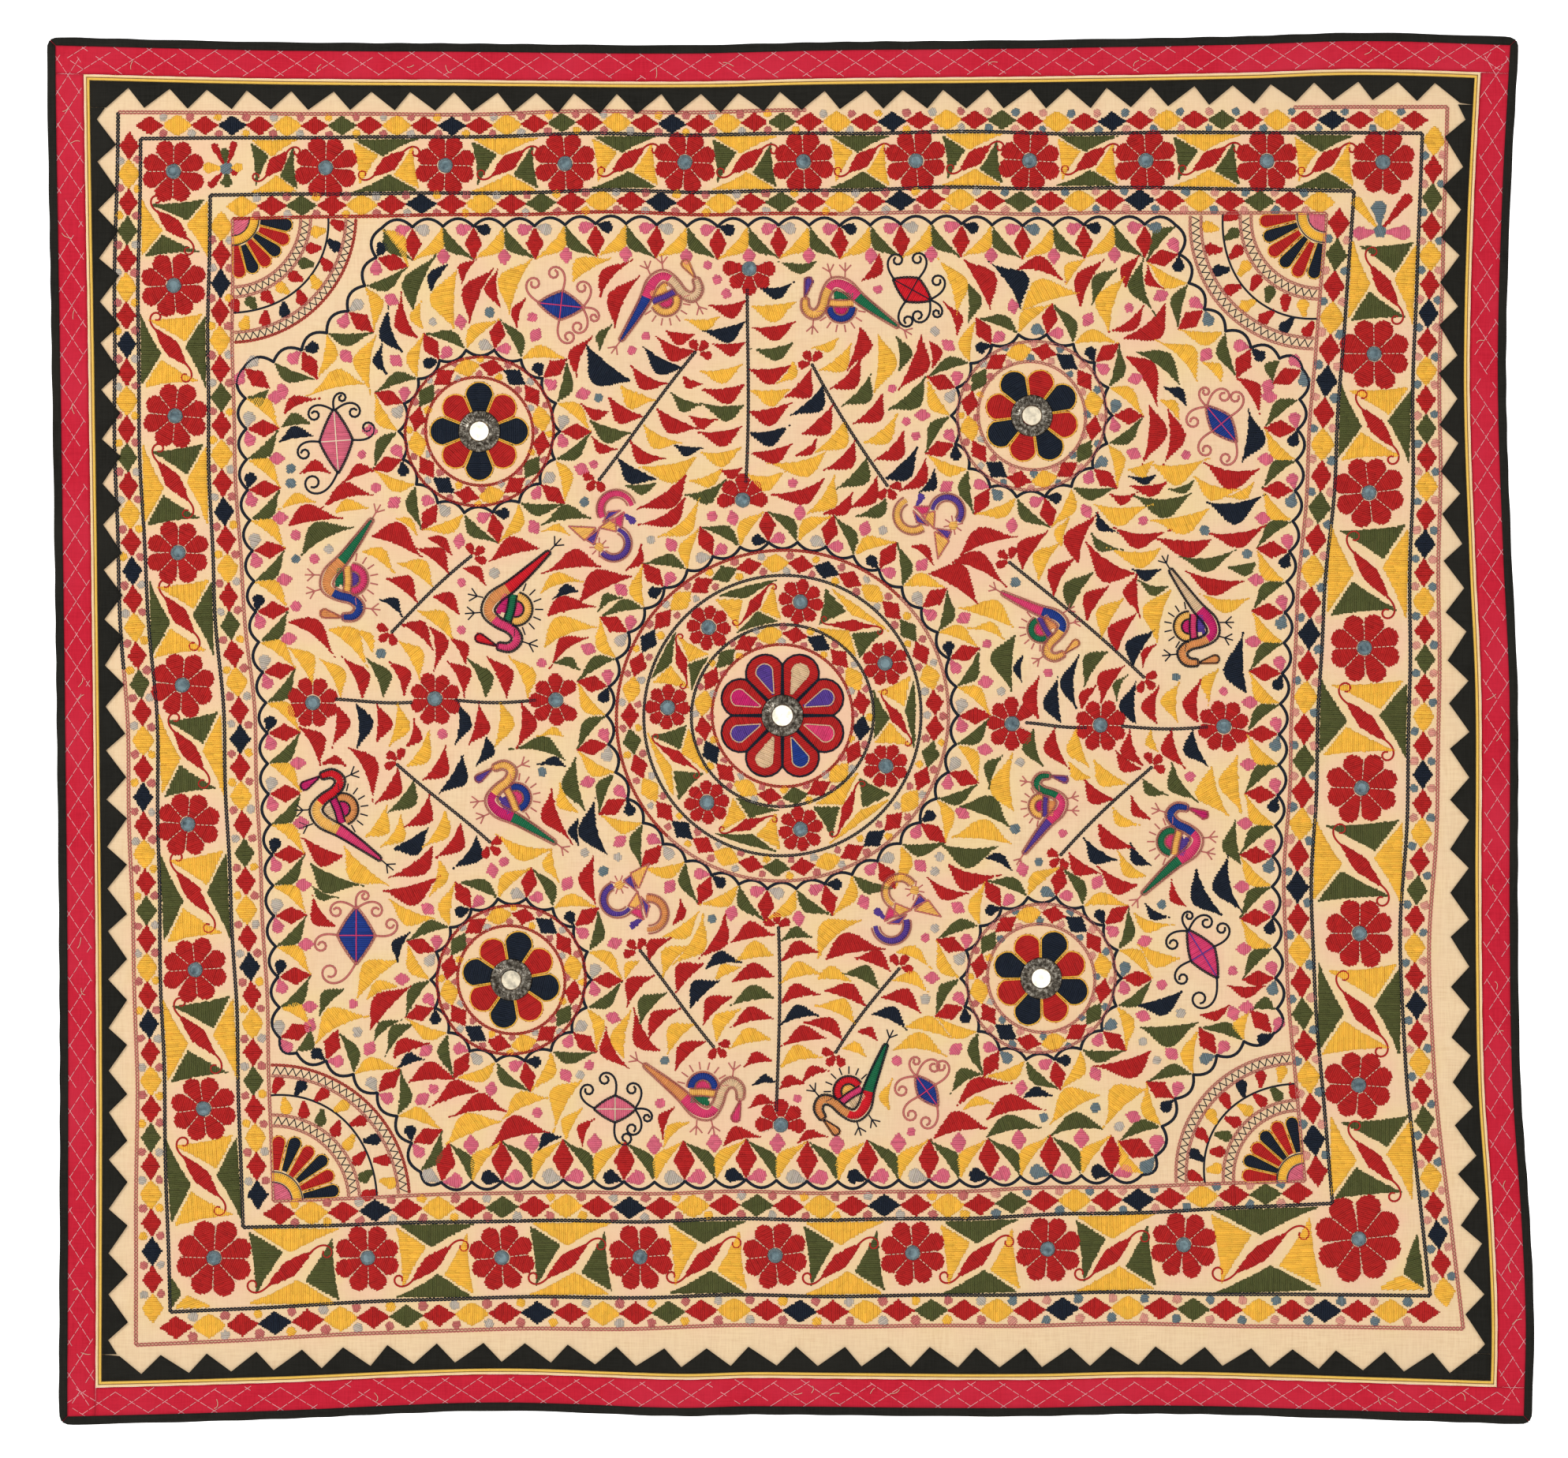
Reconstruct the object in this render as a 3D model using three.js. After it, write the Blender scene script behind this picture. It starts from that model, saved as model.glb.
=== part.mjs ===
import * as THREE from 'three';
import { mergeVertices } from 'three/addons/utils/BufferGeometryUtils.js';

// Embroidered wall hanging: a cream cotton ground inside a black sawtooth border, a double piping,
// a quilted crimson band and a black binding, with round mirrors sewn to the embroidery.
// Millimetres, +X to the right and +Z up as seen from the front, which faces -Y.
// The origin is the middle of the top edge, in the middle of the cloth's thickness.

// Thickness of each cloth and the slack between neighbours
const GROUND_THICKNESS = 1.5;
const BAND_THICKNESS = 2;
const BINDING_LEAF = 1;
const SAWTOOTH_THICKNESS = 1;
const PIPING_HEIGHT = 1.8;
const LAYER_GAP = 0.4;
const SIDE_GAP = 0.3;

// Widths of the trimmings, each measured inwards from the outer edge
const BINDING_WIDTH = 6.2;
const BINDING_FOLD = 0.7;
const BAND_INNER = 27.8;
const PIPING_WIDTH = 2.1;
const CORNER_RADIUS = 9;

// Quilting of the crimson band: a lattice of running stitches with raised rhombs between
const RHOMB_LENGTH = 46;
const RHOMB_RISE = 0.45;

// Black sawtooth border: the solid part of the strip, its points and the first point's place
const TOOTH_BASE = 4.6;
const TOOTH_DEPTH = 20;
const FIRST_TOOTH = 12;
const TOOTH_AT_BLOCK = 0.55;
const TOOTH_WANDER = { share: 0.07, placeRate: 2.4, depthRate: 1.7 };
const TEETH = { top: 34, right: 28, bottom: 31, left: 29 };

// Mirrors and their metal rosettes
const FLOWER_MIRROR = { radius: 4.4, thickness: 1, sides: 12 };
const MEDALLION_MIRROR = { thickness: 1.2, sides: 18 };
const ROSETTE = { clearance: 0.6, radius: 16, height: 1.5, rim: 0.7, bevel: 1.6, sides: 18 };

// Spacing of the points that follow the billows
const GROUND_CELL = 46;
const BINDING_STEP = 40;
const BINDING_CORNER_STEP = 3.6;
const PIPING_STEP = 46;

// The outer edge as it hangs: for the sides the x at a height, for top and bottom the z at an x
const EDGES = {
  left: [
    { at: 6, edge: -565.5 },
    { at: -47, edge: -565 },
    { at: -259, edge: -561.5 },
    { at: -523, edge: -558 },
    { at: -787, edge: -555.5 },
    { at: -1050, edge: -555.5 },
  ],
  right: [
    { at: 6, edge: 555 },
    { at: -127, edge: 548 },
    { at: -259, edge: 545 },
    { at: -391, edge: 549 },
    { at: -496, edge: 553.5 },
    { at: -655, edge: 553.5 },
    { at: -787, edge: 555.5 },
    { at: -892, edge: 562.5 },
    { at: -971, edge: 566 },
    { at: -1050, edge: 564.5 },
  ],
  top: [
    { at: -565, edge: 4.6 },
    { at: -393, edge: 0.6 },
    { at: -252, edge: -0.6 },
    { at: -83, edge: -1.8 },
    { at: 30, edge: 0.8 },
    { at: 199, edge: 2.4 },
    { at: 340, edge: 4.8 },
    { at: 439, edge: 7.6 },
    { at: 565, edge: 4 },
  ],
  bottom: [
    { at: -565, edge: -1051 },
    { at: -393, edge: -1047 },
    { at: -224, edge: -1041 },
    { at: -83, edge: -1044.5 },
    { at: -27, edge: -1043 },
    { at: 171, edge: -1045 },
    { at: 284, edge: -1043.5 },
    { at: 424, edge: -1047 },
    { at: 565, edge: -1051 },
  ],
};

// Slow billows of the hanging cloth, stronger towards the free lower edge
const BILLOWS = [
  { rise: 2.0, across: 640, down: 2600, phase: 0.6 },
  { rise: 1.3, across: -520, down: 1700, phase: 2.3 },
  { rise: 1.4, across: 2900, down: 900, phase: 1.1 },
];
const BILLOW_AT_TOP = 0.35;
const HANGING_HEIGHT = 1050;

// The five medallions, each with a round mirror in a metal rosette
const MEDALLIONS = [
  { name: 'centre', x: -5.7, z: -511.8, mirror: 7.8 },
  { name: 'upper_left', x: -236.1, z: -295.8, mirror: 7.2 },
  { name: 'upper_right', x: 183.9, z: -283.8, mirror: 7.2 },
  { name: 'lower_left', x: -212.1, z: -712.8, mirror: 7.2 },
  { name: 'lower_right', x: 191.1, z: -711.6, mirror: 7.2 },
];

// The flower border: each row runs between two corner flowers and bows by some millimetres between
// them, and `places` are shares of the way
const FLOWER_CORNERS = {
  topLeft: [-469, -98],
  topRight: [451, -91],
  bottomRight: [433, -910],
  bottomLeft: [-438, -924],
};
const FLOWER_ROWS = [
  {
    from: 'topLeft',
    to: 'topRight',
    bow: [0, 4],
    places: [0, 0.126, 0.225, 0.324, 0.423, 0.521, 0.614, 0.708, 0.804, 0.904, 1],
  },
  {
    from: 'topRight',
    to: 'bottomRight',
    bow: [-6, 0],
    places: [0.178, 0.307, 0.451, 0.581, 0.716, 0.857],
  },
  {
    from: 'bottomRight',
    to: 'bottomLeft',
    bow: [0, -5],
    places: [0, 0.153, 0.272, 0.39, 0.51, 0.628, 0.749, 0.866, 1],
  },
  {
    from: 'bottomLeft',
    to: 'topLeft',
    bow: [-8, 0],
    places: [0.137, 0.265, 0.399, 0.527, 0.649, 0.775, 0.895],
  },
];

const COLOURS = {
  cream: 0xf3d6a6,
  black: 0x24241f,
  pipingCream: 0xf0dcbc,
  pipingYellow: 0xe3b45a,
  crimson: 0xc82439,
  mirror: 0x8f9da0,
  brightMirror: 0xeceadb,
  tarnishedMetal: 0x8b867a,
};

const SIDES = ['top', 'right', 'bottom', 'left'];
const isLevel = (side) => side === 'top' || side === 'bottom';
const lerp = THREE.MathUtils.lerp;

// A smooth curve through the rows of an edge table
function edgeAt(rows, at) {
  const steps = rows.length - 1;
  const slope = (i, j) => (rows[j].edge - rows[i].edge) / (rows[j].at - rows[i].at);
  const tangent = (i) => slope(Math.max(i - 1, 0), Math.min(i + 1, steps));
  const rising = rows[steps].at > rows[0].at;
  let i = 0;
  while (i < steps - 1 && (rising ? at > rows[i + 1].at : at < rows[i + 1].at)) i += 1;
  const run = rows[i + 1].at - rows[i].at;
  const t = THREE.MathUtils.clamp((at - rows[i].at) / run, 0, 1);
  const near = (1 + 2 * t) * (1 - t) ** 2 * rows[i].edge + t * (1 - t) ** 2 * run * tangent(i);
  const far = t * t * (3 - 2 * t) * rows[i + 1].edge + t * t * (t - 1) * run * tangent(i + 1);
  return near + far;
}

// The four outer edges, moved inwards by an inset
const inset = (distance) => ({
  left: (z) => edgeAt(EDGES.left, z) + distance,
  right: (z) => edgeAt(EDGES.right, z) - distance,
  top: (x) => edgeAt(EDGES.top, x) - distance,
  bottom: (x) => edgeAt(EDGES.bottom, x) + distance,
});
const outerEdge = inset(0);

// How far the cloth's middle surface stands from the wall plane
function drape(x, z) {
  const share = BILLOW_AT_TOP + (1 - BILLOW_AT_TOP) * THREE.MathUtils.clamp(-z / HANGING_HEIGHT, 0, 1);
  const wave = ({ rise, across, down, phase }) =>
    rise * Math.sin(2 * Math.PI * (x / across + z / down) + phase);
  return share * BILLOWS.reduce((sum, billow) => sum + wave(billow), 0);
}

// Rounds the four outer corners: the square at a corner becomes a quarter disc
function roundCorner(x, z) {
  const left = x - outerEdge.left(z);
  const right = outerEdge.right(z) - x;
  const top = outerEdge.top(x) - z;
  const bottom = z - outerEdge.bottom(x);
  const p = Math.max(CORNER_RADIUS - Math.min(left, right), 0);
  const q = Math.max(CORNER_RADIUS - Math.min(top, bottom), 0);
  const pulledX = p - p * Math.sqrt(1 - (q * q) / (2 * CORNER_RADIUS ** 2));
  const pulledZ = q - q * Math.sqrt(1 - (p * p) / (2 * CORNER_RADIUS ** 2));
  return [x + (left < right ? pulledX : -pulledX), z + (bottom < top ? pulledZ : -pulledZ)];
}

// A point of the hanging; depth is measured from the middle surface towards the viewer
function onCloth(x, z, depth) {
  const [roundX, roundZ] = roundCorner(x, z);
  return new THREE.Vector3(roundX, drape(roundX, roundZ) - depth, roundZ);
}

// Moves every vertex of a geometry and keeps one closed skin with its faces outwards
function reshaped(geometry, move) {
  const bare = geometry.clone();
  bare.deleteAttribute('normal');
  bare.deleteAttribute('uv');
  const solid = mergeVertices(bare, 1e-5);
  const position = solid.getAttribute('position');
  const corner = (i) => new THREE.Vector3().fromBufferAttribute(position, i);
  for (let i = 0; i < position.count; i += 1) position.setXYZ(i, ...move(corner(i)).toArray());
  const index = solid.getIndex().array;
  let volume = 0;
  for (let i = 0; i < index.length; i += 3) {
    volume += corner(index[i]).dot(corner(index[i + 1]).cross(corner(index[i + 2])));
  }
  if (volume < 0) index.reverse();
  solid.computeVertexNormals();
  return solid;
}

// The place of a share of the way across and up a region between four edges
function within({ left, right, top, bottom }, across, up) {
  let x = lerp(left(0), right(0), across);
  let z = 0;
  for (let pass = 0; pass < 4; pass += 1) {
    z = lerp(bottom(x), top(x), up);
    x = lerp(left(z), right(z), across);
  }
  return [x, z];
}

// A flat-cut cloth between four edges; `relief` raises both faces at a share across and up
function sheet(region, thickness, across, up, relief = () => 0) {
  const box = new THREE.BoxGeometry(1, 1, 1, across, 1, up);
  return reshaped(box, (corner) => {
    const place = [corner.x + 0.5, corner.z + 0.5];
    const depth = -2 * corner.y * (thickness / 2 + relief(...place));
    return onCloth(...within(region, ...place), depth);
  });
}

function groundCloth() {
  const region = inset(BAND_INNER + SIDE_GAP);
  const across = Math.round((region.right(0) - region.left(0)) / GROUND_CELL);
  const up = Math.round((region.top(0) - region.bottom(0)) / GROUND_CELL);
  return sheet(region, GROUND_THICKNESS, across, up);
}

// The crimson strips were sewn on one after another: right, bottom, left and then top
const BAND_EDGE = BINDING_LEAF + LAYER_GAP;
function bandRegions() {
  const outer = inset(BAND_EDGE);
  const inner = inset(BAND_INNER);
  const beyond = inset(BAND_INNER + SIDE_GAP);
  return {
    top: { ...outer, bottom: inner.top },
    left: { ...outer, top: beyond.top, right: inner.left },
    bottom: { ...outer, left: beyond.left, top: inner.bottom },
    right: { left: inner.right, right: outer.right, top: beyond.top, bottom: beyond.bottom },
  };
}

function bandStrip(side, region) {
  const level = isLevel(side);
  const [x, z] = within(region, 0.5, 0.5);
  const length = level ? region.right(z) - region.left(z) : region.top(x) - region.bottom(x);
  const rhombs = Math.round(length / RHOMB_LENGTH);
  const relief = (across, up) => {
    const along = (level ? across : up) * rhombs;
    const middle = 1 - Math.abs(2 * (level ? up : across) - 1);
    return RHOMB_RISE * middle * (1 - Math.abs(2 * (along % 1) - 1));
  };
  const segments = level ? [2 * rhombs, 2] : [2, 2 * rhombs];
  return sheet(region, BAND_THICKNESS, ...segments, relief);
}

// A place along one side, clockwise: a share of the way between the two ends, which lie a trim inside
// the neighbouring edges, on the line at an inset from this side's own edge
function alongSide(side, share, trim, depthIn) {
  const ends = inset(trim);
  const line = inset(depthIn);
  let [x, z] = [0, -HANGING_HEIGHT / 2];
  for (let pass = 0; pass < 4; pass += 1) {
    if (isLevel(side)) {
      z = line[side](x);
      x = lerp(ends.left(z), ends.right(z), side === 'top' ? share : 1 - share);
    } else {
      x = line[side](z);
      z = lerp(ends.bottom(x), ends.top(x), side === 'left' ? share : 1 - share);
    }
  }
  return [x, z];
}

function sideLength(side) {
  const [startX, startZ] = alongSide(side, 0, 0, 0);
  const [endX, endZ] = alongSide(side, 1, 0, 0);
  return Math.hypot(endX - startX, endZ - startZ);
}

// The binding is a strip folded over the edge, so its section is a narrow C, mitred at the corners
function bindingStrip(side) {
  const hollow = BAND_THICKNESS / 2 + LAYER_GAP;
  const outside = hollow + BINDING_LEAF;
  const section = new THREE.Shape([
    new THREE.Vector2(BINDING_WIDTH, -outside),
    new THREE.Vector2(BINDING_WIDTH, -hollow),
    new THREE.Vector2(BINDING_LEAF, -hollow),
    new THREE.Vector2(BINDING_LEAF, hollow),
    new THREE.Vector2(BINDING_WIDTH, hollow),
    new THREE.Vector2(BINDING_WIDTH, outside),
    new THREE.Vector2(BINDING_FOLD, outside),
    new THREE.Vector2(0, hollow),
    new THREE.Vector2(0, -hollow),
    new THREE.Vector2(BINDING_FOLD, -outside),
  ]);
  const length = sideLength(side);
  const cornerSteps = 3;
  const cornerReach = cornerSteps * BINDING_CORNER_STEP;
  const middleSteps = Math.round(length / BINDING_STEP);
  const steps = middleSteps + 2 * cornerSteps;
  const strip = new THREE.ExtrudeGeometry(section, { depth: steps, steps, bevelEnabled: false });
  return reshaped(strip, ({ x: depthIn, y: depth, z: step }) => {
    const fromStart = Math.min(step, cornerSteps) * BINDING_CORNER_STEP;
    const middle = THREE.MathUtils.clamp(step - cornerSteps, 0, middleSteps);
    const toEnd = Math.max(step - cornerSteps - middleSteps, 0) * BINDING_CORNER_STEP;
    const flat = fromStart + (middle / middleSteps) * (length - 2 * cornerReach) + toEnd;
    return onCloth(...alongSide(side, flat / length, depthIn + SIDE_GAP, depthIn), depth);
  });
}

// A piping is one narrow folded strip sewn round all four sides, in front of the ground's edge
function pipingRing(startsAt) {
  const middle = startsAt + PIPING_WIDTH / 2;
  const back = GROUND_THICKNESS / 2 + LAYER_GAP;
  const sideSteps = Math.round(HANGING_HEIGHT / PIPING_STEP);
  const ring = new THREE.TorusGeometry(1, 0.25, 5, SIDES.length * sideSteps);
  return reshaped(ring, (corner) => {
    const turn = (Math.atan2(-corner.y, corner.x) / (2 * Math.PI) + 1) % 1;
    const step = Math.round(turn * SIDES.length * sideSteps) % (SIDES.length * sideSteps);
    const side = SIDES[Math.floor(step / sideSteps)];
    const around = Math.atan2(corner.z, Math.hypot(corner.x, corner.y) - 1);
    const depthIn = middle - (PIPING_WIDTH / 2) * Math.cos(around);
    const depth = back + (PIPING_HEIGHT / 2) * (1 + Math.sin(around));
    const share = (step % sideSteps) / sideSteps;
    return onCloth(...alongSide(side, share, depthIn, depthIn), depth);
  });
}

// A sawtooth strip: points alternate with notches, and the corner blocks belong to top and bottom
const SAWTOOTH_EDGE = BAND_INNER + 2 * (PIPING_WIDTH + SIDE_GAP) + SIDE_GAP;
function sawtoothStrip(side) {
  const trim = SAWTOOTH_EDGE + (isLevel(side) ? 0 : TOOTH_DEPTH + SIDE_GAP);
  const length = sideLength(side);
  const firstTip = SAWTOOTH_EDGE + FIRST_TOOTH;
  const pitch = (length - 2 * firstTip) / (TEETH[side] - 1);
  const endDepth = TOOTH_DEPTH * (isLevel(side) ? 1 : TOOTH_AT_BLOCK);
  const firstHalf = isLevel(side) ? 0 : 1;
  const lastHalf = 2 * (TEETH[side] - 1) - firstHalf;
  const stations = [{ at: trim, depth: endDepth }];
  for (let half = firstHalf; half <= lastHalf; half += 1) {
    const wander = TOOTH_WANDER.share * Math.sin(TOOTH_WANDER.placeRate * half);
    const shortfall = TOOTH_WANDER.share * Math.abs(Math.sin(TOOTH_WANDER.depthRate * half));
    const depth = half % 2 === 0 ? TOOTH_DEPTH * (1 - shortfall) : TOOTH_BASE;
    stations.push({ at: firstTip + (half / 2 + wander) * pitch, depth });
  }
  stations.push({ at: length - trim, depth: endDepth });
  const segments = stations.length - 1;
  const box = new THREE.BoxGeometry(1, 1, 1, segments, 1, 1);
  const back = GROUND_THICKNESS / 2 + LAYER_GAP;
  return reshaped(box, (corner) => {
    const { at, depth } = stations[Math.round((corner.x + 0.5) * segments)];
    const place = alongSide(
      side,
      (at - trim) / (length - 2 * trim),
      trim,
      SAWTOOTH_EDGE + (corner.y + 0.5) * depth,
    );
    return onCloth(...place, back + (corner.z + 0.5) * SAWTOOTH_THICKNESS);
  });
}

// Round pieces lie on the front of the ground and follow its slope
function onGround(geometry, x, z) {
  const back = GROUND_THICKNESS / 2 + LAYER_GAP;
  return reshaped(geometry, (corner) => onCloth(x + corner.x, z + corner.z, back + corner.y));
}

function mirrorDisc({ radius, thickness, sides }, x, z) {
  const disc = new THREE.CylinderGeometry(radius, radius, thickness, sides);
  disc.translate(0, thickness / 2, 0);
  return onGround(disc, x, z);
}

function rosetteRing(mirrorRadius, x, z) {
  const { clearance, radius, height, rim, bevel, sides } = ROSETTE;
  const hole = mirrorRadius + clearance;
  const profile = [
    new THREE.Vector2(hole, 0),
    new THREE.Vector2(radius, 0),
    new THREE.Vector2(radius, rim),
    new THREE.Vector2(radius - bevel, height),
    new THREE.Vector2(hole, height),
    new THREE.Vector2(hole, 0),
  ];
  return onGround(new THREE.LatheGeometry(profile, sides), x, z);
}

const hanging = new THREE.Group();

function add(name, geometry, color, roughness, metalness = 0) {
  const mesh = new THREE.Mesh(geometry, new THREE.MeshStandardMaterial({ color, roughness, metalness }));
  mesh.name = name;
  hanging.add(mesh);
}

add('ground_cloth', groundCloth(), COLOURS.cream, 0.9);
const bands = bandRegions();
for (const side of SIDES) {
  add(`sawtooth_${side}`, sawtoothStrip(side), COLOURS.black, 0.85);
  add(`band_${side}`, bandStrip(side, bands[side]), COLOURS.crimson, 0.8);
  add(`binding_${side}`, bindingStrip(side), COLOURS.black, 0.85);
}
const creamStart = BAND_INNER + SIDE_GAP;
add('piping_cream', pipingRing(creamStart), COLOURS.pipingCream, 0.85);
add('piping_yellow', pipingRing(creamStart + PIPING_WIDTH + SIDE_GAP), COLOURS.pipingYellow, 0.85);

for (const { name, x, z, mirror } of MEDALLIONS) {
  const disc = mirrorDisc({ ...MEDALLION_MIRROR, radius: mirror }, x, z);
  add(`mirror_${name}`, disc, COLOURS.brightMirror, 0.1, 0.9);
  add(`rosette_${name}`, rosetteRing(mirror, x, z), COLOURS.tarnishedMetal, 0.5, 0.8);
}

let flowers = 0;
for (const { from, to, bow, places } of FLOWER_ROWS) {
  const start = new THREE.Vector2(...FLOWER_CORNERS[from]);
  const end = new THREE.Vector2(...FLOWER_CORNERS[to]);
  for (const place of places) {
    flowers += 1;
    const bowed = new THREE.Vector2(...bow).multiplyScalar(4 * place * (1 - place));
    const centre = start.clone().lerp(end, place).add(bowed);
    const disc = mirrorDisc(FLOWER_MIRROR, centre.x, centre.y);
    add(`flower_mirror_${String(flowers).padStart(2, '0')}`, disc, COLOURS.mirror, 0.15, 0.9);
  }
}

export default hanging;
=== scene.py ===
# %% [markdown]
# # An embroidered wall hanging
# The real object is a square of cream cotton, about 1.13 m wide, covered by hand with satin stitch
# and chain stitch and with small mirrors sewn into its flowers. A black sawtooth border, a double
# piping, a quilted crimson band and a black binding frame it. The construction comes from the packed
# solids; this lesson makes the cloth, the thread and the glass that cover them.

# %% Load the fixed frame
import math

import bmesh
import bpy
import numpy as np
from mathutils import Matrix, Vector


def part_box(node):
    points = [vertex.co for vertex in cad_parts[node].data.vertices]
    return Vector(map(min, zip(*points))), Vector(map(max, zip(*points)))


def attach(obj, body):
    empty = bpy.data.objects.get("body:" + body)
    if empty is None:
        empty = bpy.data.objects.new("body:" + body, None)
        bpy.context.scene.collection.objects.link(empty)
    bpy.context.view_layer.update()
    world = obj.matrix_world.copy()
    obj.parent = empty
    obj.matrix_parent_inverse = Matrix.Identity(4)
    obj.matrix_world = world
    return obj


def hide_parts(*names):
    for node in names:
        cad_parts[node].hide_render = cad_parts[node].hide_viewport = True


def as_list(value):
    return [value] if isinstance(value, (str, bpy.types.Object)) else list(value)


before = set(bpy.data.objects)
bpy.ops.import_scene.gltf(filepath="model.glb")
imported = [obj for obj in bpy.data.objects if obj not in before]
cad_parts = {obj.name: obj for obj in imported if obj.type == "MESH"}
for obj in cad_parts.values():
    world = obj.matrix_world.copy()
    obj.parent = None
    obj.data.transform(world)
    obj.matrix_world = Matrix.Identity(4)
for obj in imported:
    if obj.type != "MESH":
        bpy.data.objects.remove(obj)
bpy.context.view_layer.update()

MM = 0.001
BODY = "root"
rng = np.random.default_rng(23)

# %% [markdown]
# ## The outline and the billows
# A hanging is never a true square: its edges wander by some millimetres and its lower half billows.
# The same few driving rows that shape the solids are repeated here, so that every stitch can be put
# on the cloth by a formula. The alternative, a ray cast onto the mesh, would be slower and rougher.

# %% The outer edge, the billows and the puckers
# Rows of (place, edge) in millimetres: x of the edge at a height, or z of the edge at an x
EDGES = {
    "left": [(-1050, -555.5), (-787, -555.5), (-523, -558), (-259, -561.5), (-47, -565), (6, -565.5)],
    "right": [(-1050, 564.5), (-971, 566), (-892, 562.5), (-787, 555.5), (-655, 553.5),
              (-496, 553.5), (-391, 549), (-259, 545), (-127, 548), (6, 555)],
    "top": [(-565, 4.6), (-393, 0.6), (-252, -0.6), (-83, -1.8), (30, 0.8),
            (199, 2.4), (340, 4.8), (439, 7.6), (565, 4)],
    "bottom": [(-565, -1051), (-393, -1047), (-224, -1041), (-83, -1044.5), (-27, -1043),
               (171, -1045), (284, -1043.5), (424, -1047), (565, -1051)],
}
SIDES = ("top", "right", "bottom", "left")
HANGING_HEIGHT = 1050
BILLOW_AT_TOP = 0.35
# Rows of (rise, wavelength across, wavelength down, phase)
BILLOWS = [(2.0, 640, 2600, 0.6), (1.3, -520, 1700, 2.3), (1.4, 2900, 900, 1.1)]
PUCKERS = [(0.16, 83, 151, 0.4), (0.13, -97, 71, 1.9), (0.1, 58, -64, 3.1)]
CORNER_RADIUS = 9


def smooth_step(t, a, b, slope_a, slope_b):
    """A smooth curve from a at 0 to b at 1 that has a given slope at each end."""
    near = (1 + 2 * t) * (1 - t) ** 2 * a + t * (1 - t) ** 2 * slope_a
    return near + t * t * (3 - 2 * t) * b + t * t * (t - 1) * slope_b


def edge_at(side, at):
    """The outer edge of a side: a smooth curve through the rows of its table."""
    places, edges = np.array(EDGES[side], float).T
    last = len(places) - 1
    before, after = np.maximum(np.arange(last + 1) - 1, 0), np.minimum(np.arange(last + 1) + 1, last)
    slopes = (edges[after] - edges[before]) / (places[after] - places[before])
    i = np.clip(np.searchsorted(places, at) - 1, 0, last - 1)
    run = places[i + 1] - places[i]
    t = np.clip((at - places[i]) / run, 0, 1)
    return smooth_step(t, edges[i], edges[i + 1], run * slopes[i], run * slopes[i + 1])


def inset(distance):
    """The four outer edges, moved inwards."""
    return {
        "left": lambda z: edge_at("left", z) + distance,
        "right": lambda z: edge_at("right", z) - distance,
        "top": lambda x: edge_at("top", x) - distance,
        "bottom": lambda x: edge_at("bottom", x) + distance,
    }


def waves(rows, x, z):
    """The sum of a few long sine waves."""
    return sum(rise * np.sin(2 * math.pi * (x / across + z / down) + phase)
               for rise, across, down, phase in rows)


def surface(x, z):
    """How far the cloth's middle stands from the wall plane."""
    share = BILLOW_AT_TOP + (1 - BILLOW_AT_TOP) * np.clip(-z / HANGING_HEIGHT, 0, 1)
    return share * waves(BILLOWS, x, z) + waves(PUCKERS, x, z)


def on_cloth(x, z, depth):
    """Points of the hanging in metres; depth is measured from the cloth's middle to the viewer."""
    edge = inset(0)
    left, right = x - edge["left"](z), edge["right"](z) - x
    top, bottom = edge["top"](x) - z, z - edge["bottom"](x)
    p = np.maximum(CORNER_RADIUS - np.minimum(left, right), 0)
    q = np.maximum(CORNER_RADIUS - np.minimum(top, bottom), 0)
    round_x = p - p * np.sqrt(np.maximum(1 - q * q / (2 * CORNER_RADIUS ** 2), 0))
    round_z = q - q * np.sqrt(np.maximum(1 - p * p / (2 * CORNER_RADIUS ** 2), 0))
    x = x + np.where(left < right, round_x, -round_x)
    z = z + np.where(bottom < top, round_z, -round_z)
    return np.column_stack([x, surface(x, z) - depth, z]) * MM


def within(region, across, up):
    """The place of a share of the way across and up a region between four edges."""
    x = region["left"](0 * across) * (1 - across) + region["right"](0 * across) * across
    for _ in range(4):
        z = region["bottom"](x) * (1 - up) + region["top"](x) * up
        x = region["left"](z) * (1 - across) + region["right"](z) * across
    return x, z


def along_side(side, share, trim, depth_in):
    """A place along one side, clockwise, with ends a trim inside the neighbours, at an inset."""
    ends, line = inset(trim), inset(depth_in)
    x, z = 0 * share, 0 * share - HANGING_HEIGHT / 2
    for _ in range(4):
        if side in ("top", "bottom"):
            z = line[side](x)
            way = share if side == "top" else 1 - share
            x = ends["left"](z) * (1 - way) + ends["right"](z) * way
        else:
            x = line[side](z)
            way = share if side == "left" else 1 - share
            z = ends["bottom"](x) * (1 - way) + ends["top"](x) * way
    return x, z


def side_length(side):
    """A side's length from corner to corner, in millimetres."""
    x, z = along_side(side, np.array([0.0, 1.0]), 0, 0)
    return math.hypot(x[1] - x[0], z[1] - z[0])


print("sides in mm:", {side: round(side_length(side)) for side in SIDES})

# %% [markdown]
# ## Cotton
# All the cloth here is plain-woven cotton: no gloss, a soft sheen, and uneven threads, called slubs,
# that show as short flecks along and across. Noise stretched along each thread direction draws them.
# The real threads are 0.4 mm apart, too fine to show, so the flecks are drawn about 1 mm wide.

# %% Colours, nodes and woven cotton
def linear(hex_colour):
    """An sRGB hex colour as linear RGBA."""
    shares = [int(hex_colour[i:i + 2], 16) / 255 for i in (1, 3, 5)]
    return [s / 12.92 if s <= 0.04045 else ((s + 0.055) / 1.055) ** 2.4 for s in shares] + [1.0]


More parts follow.
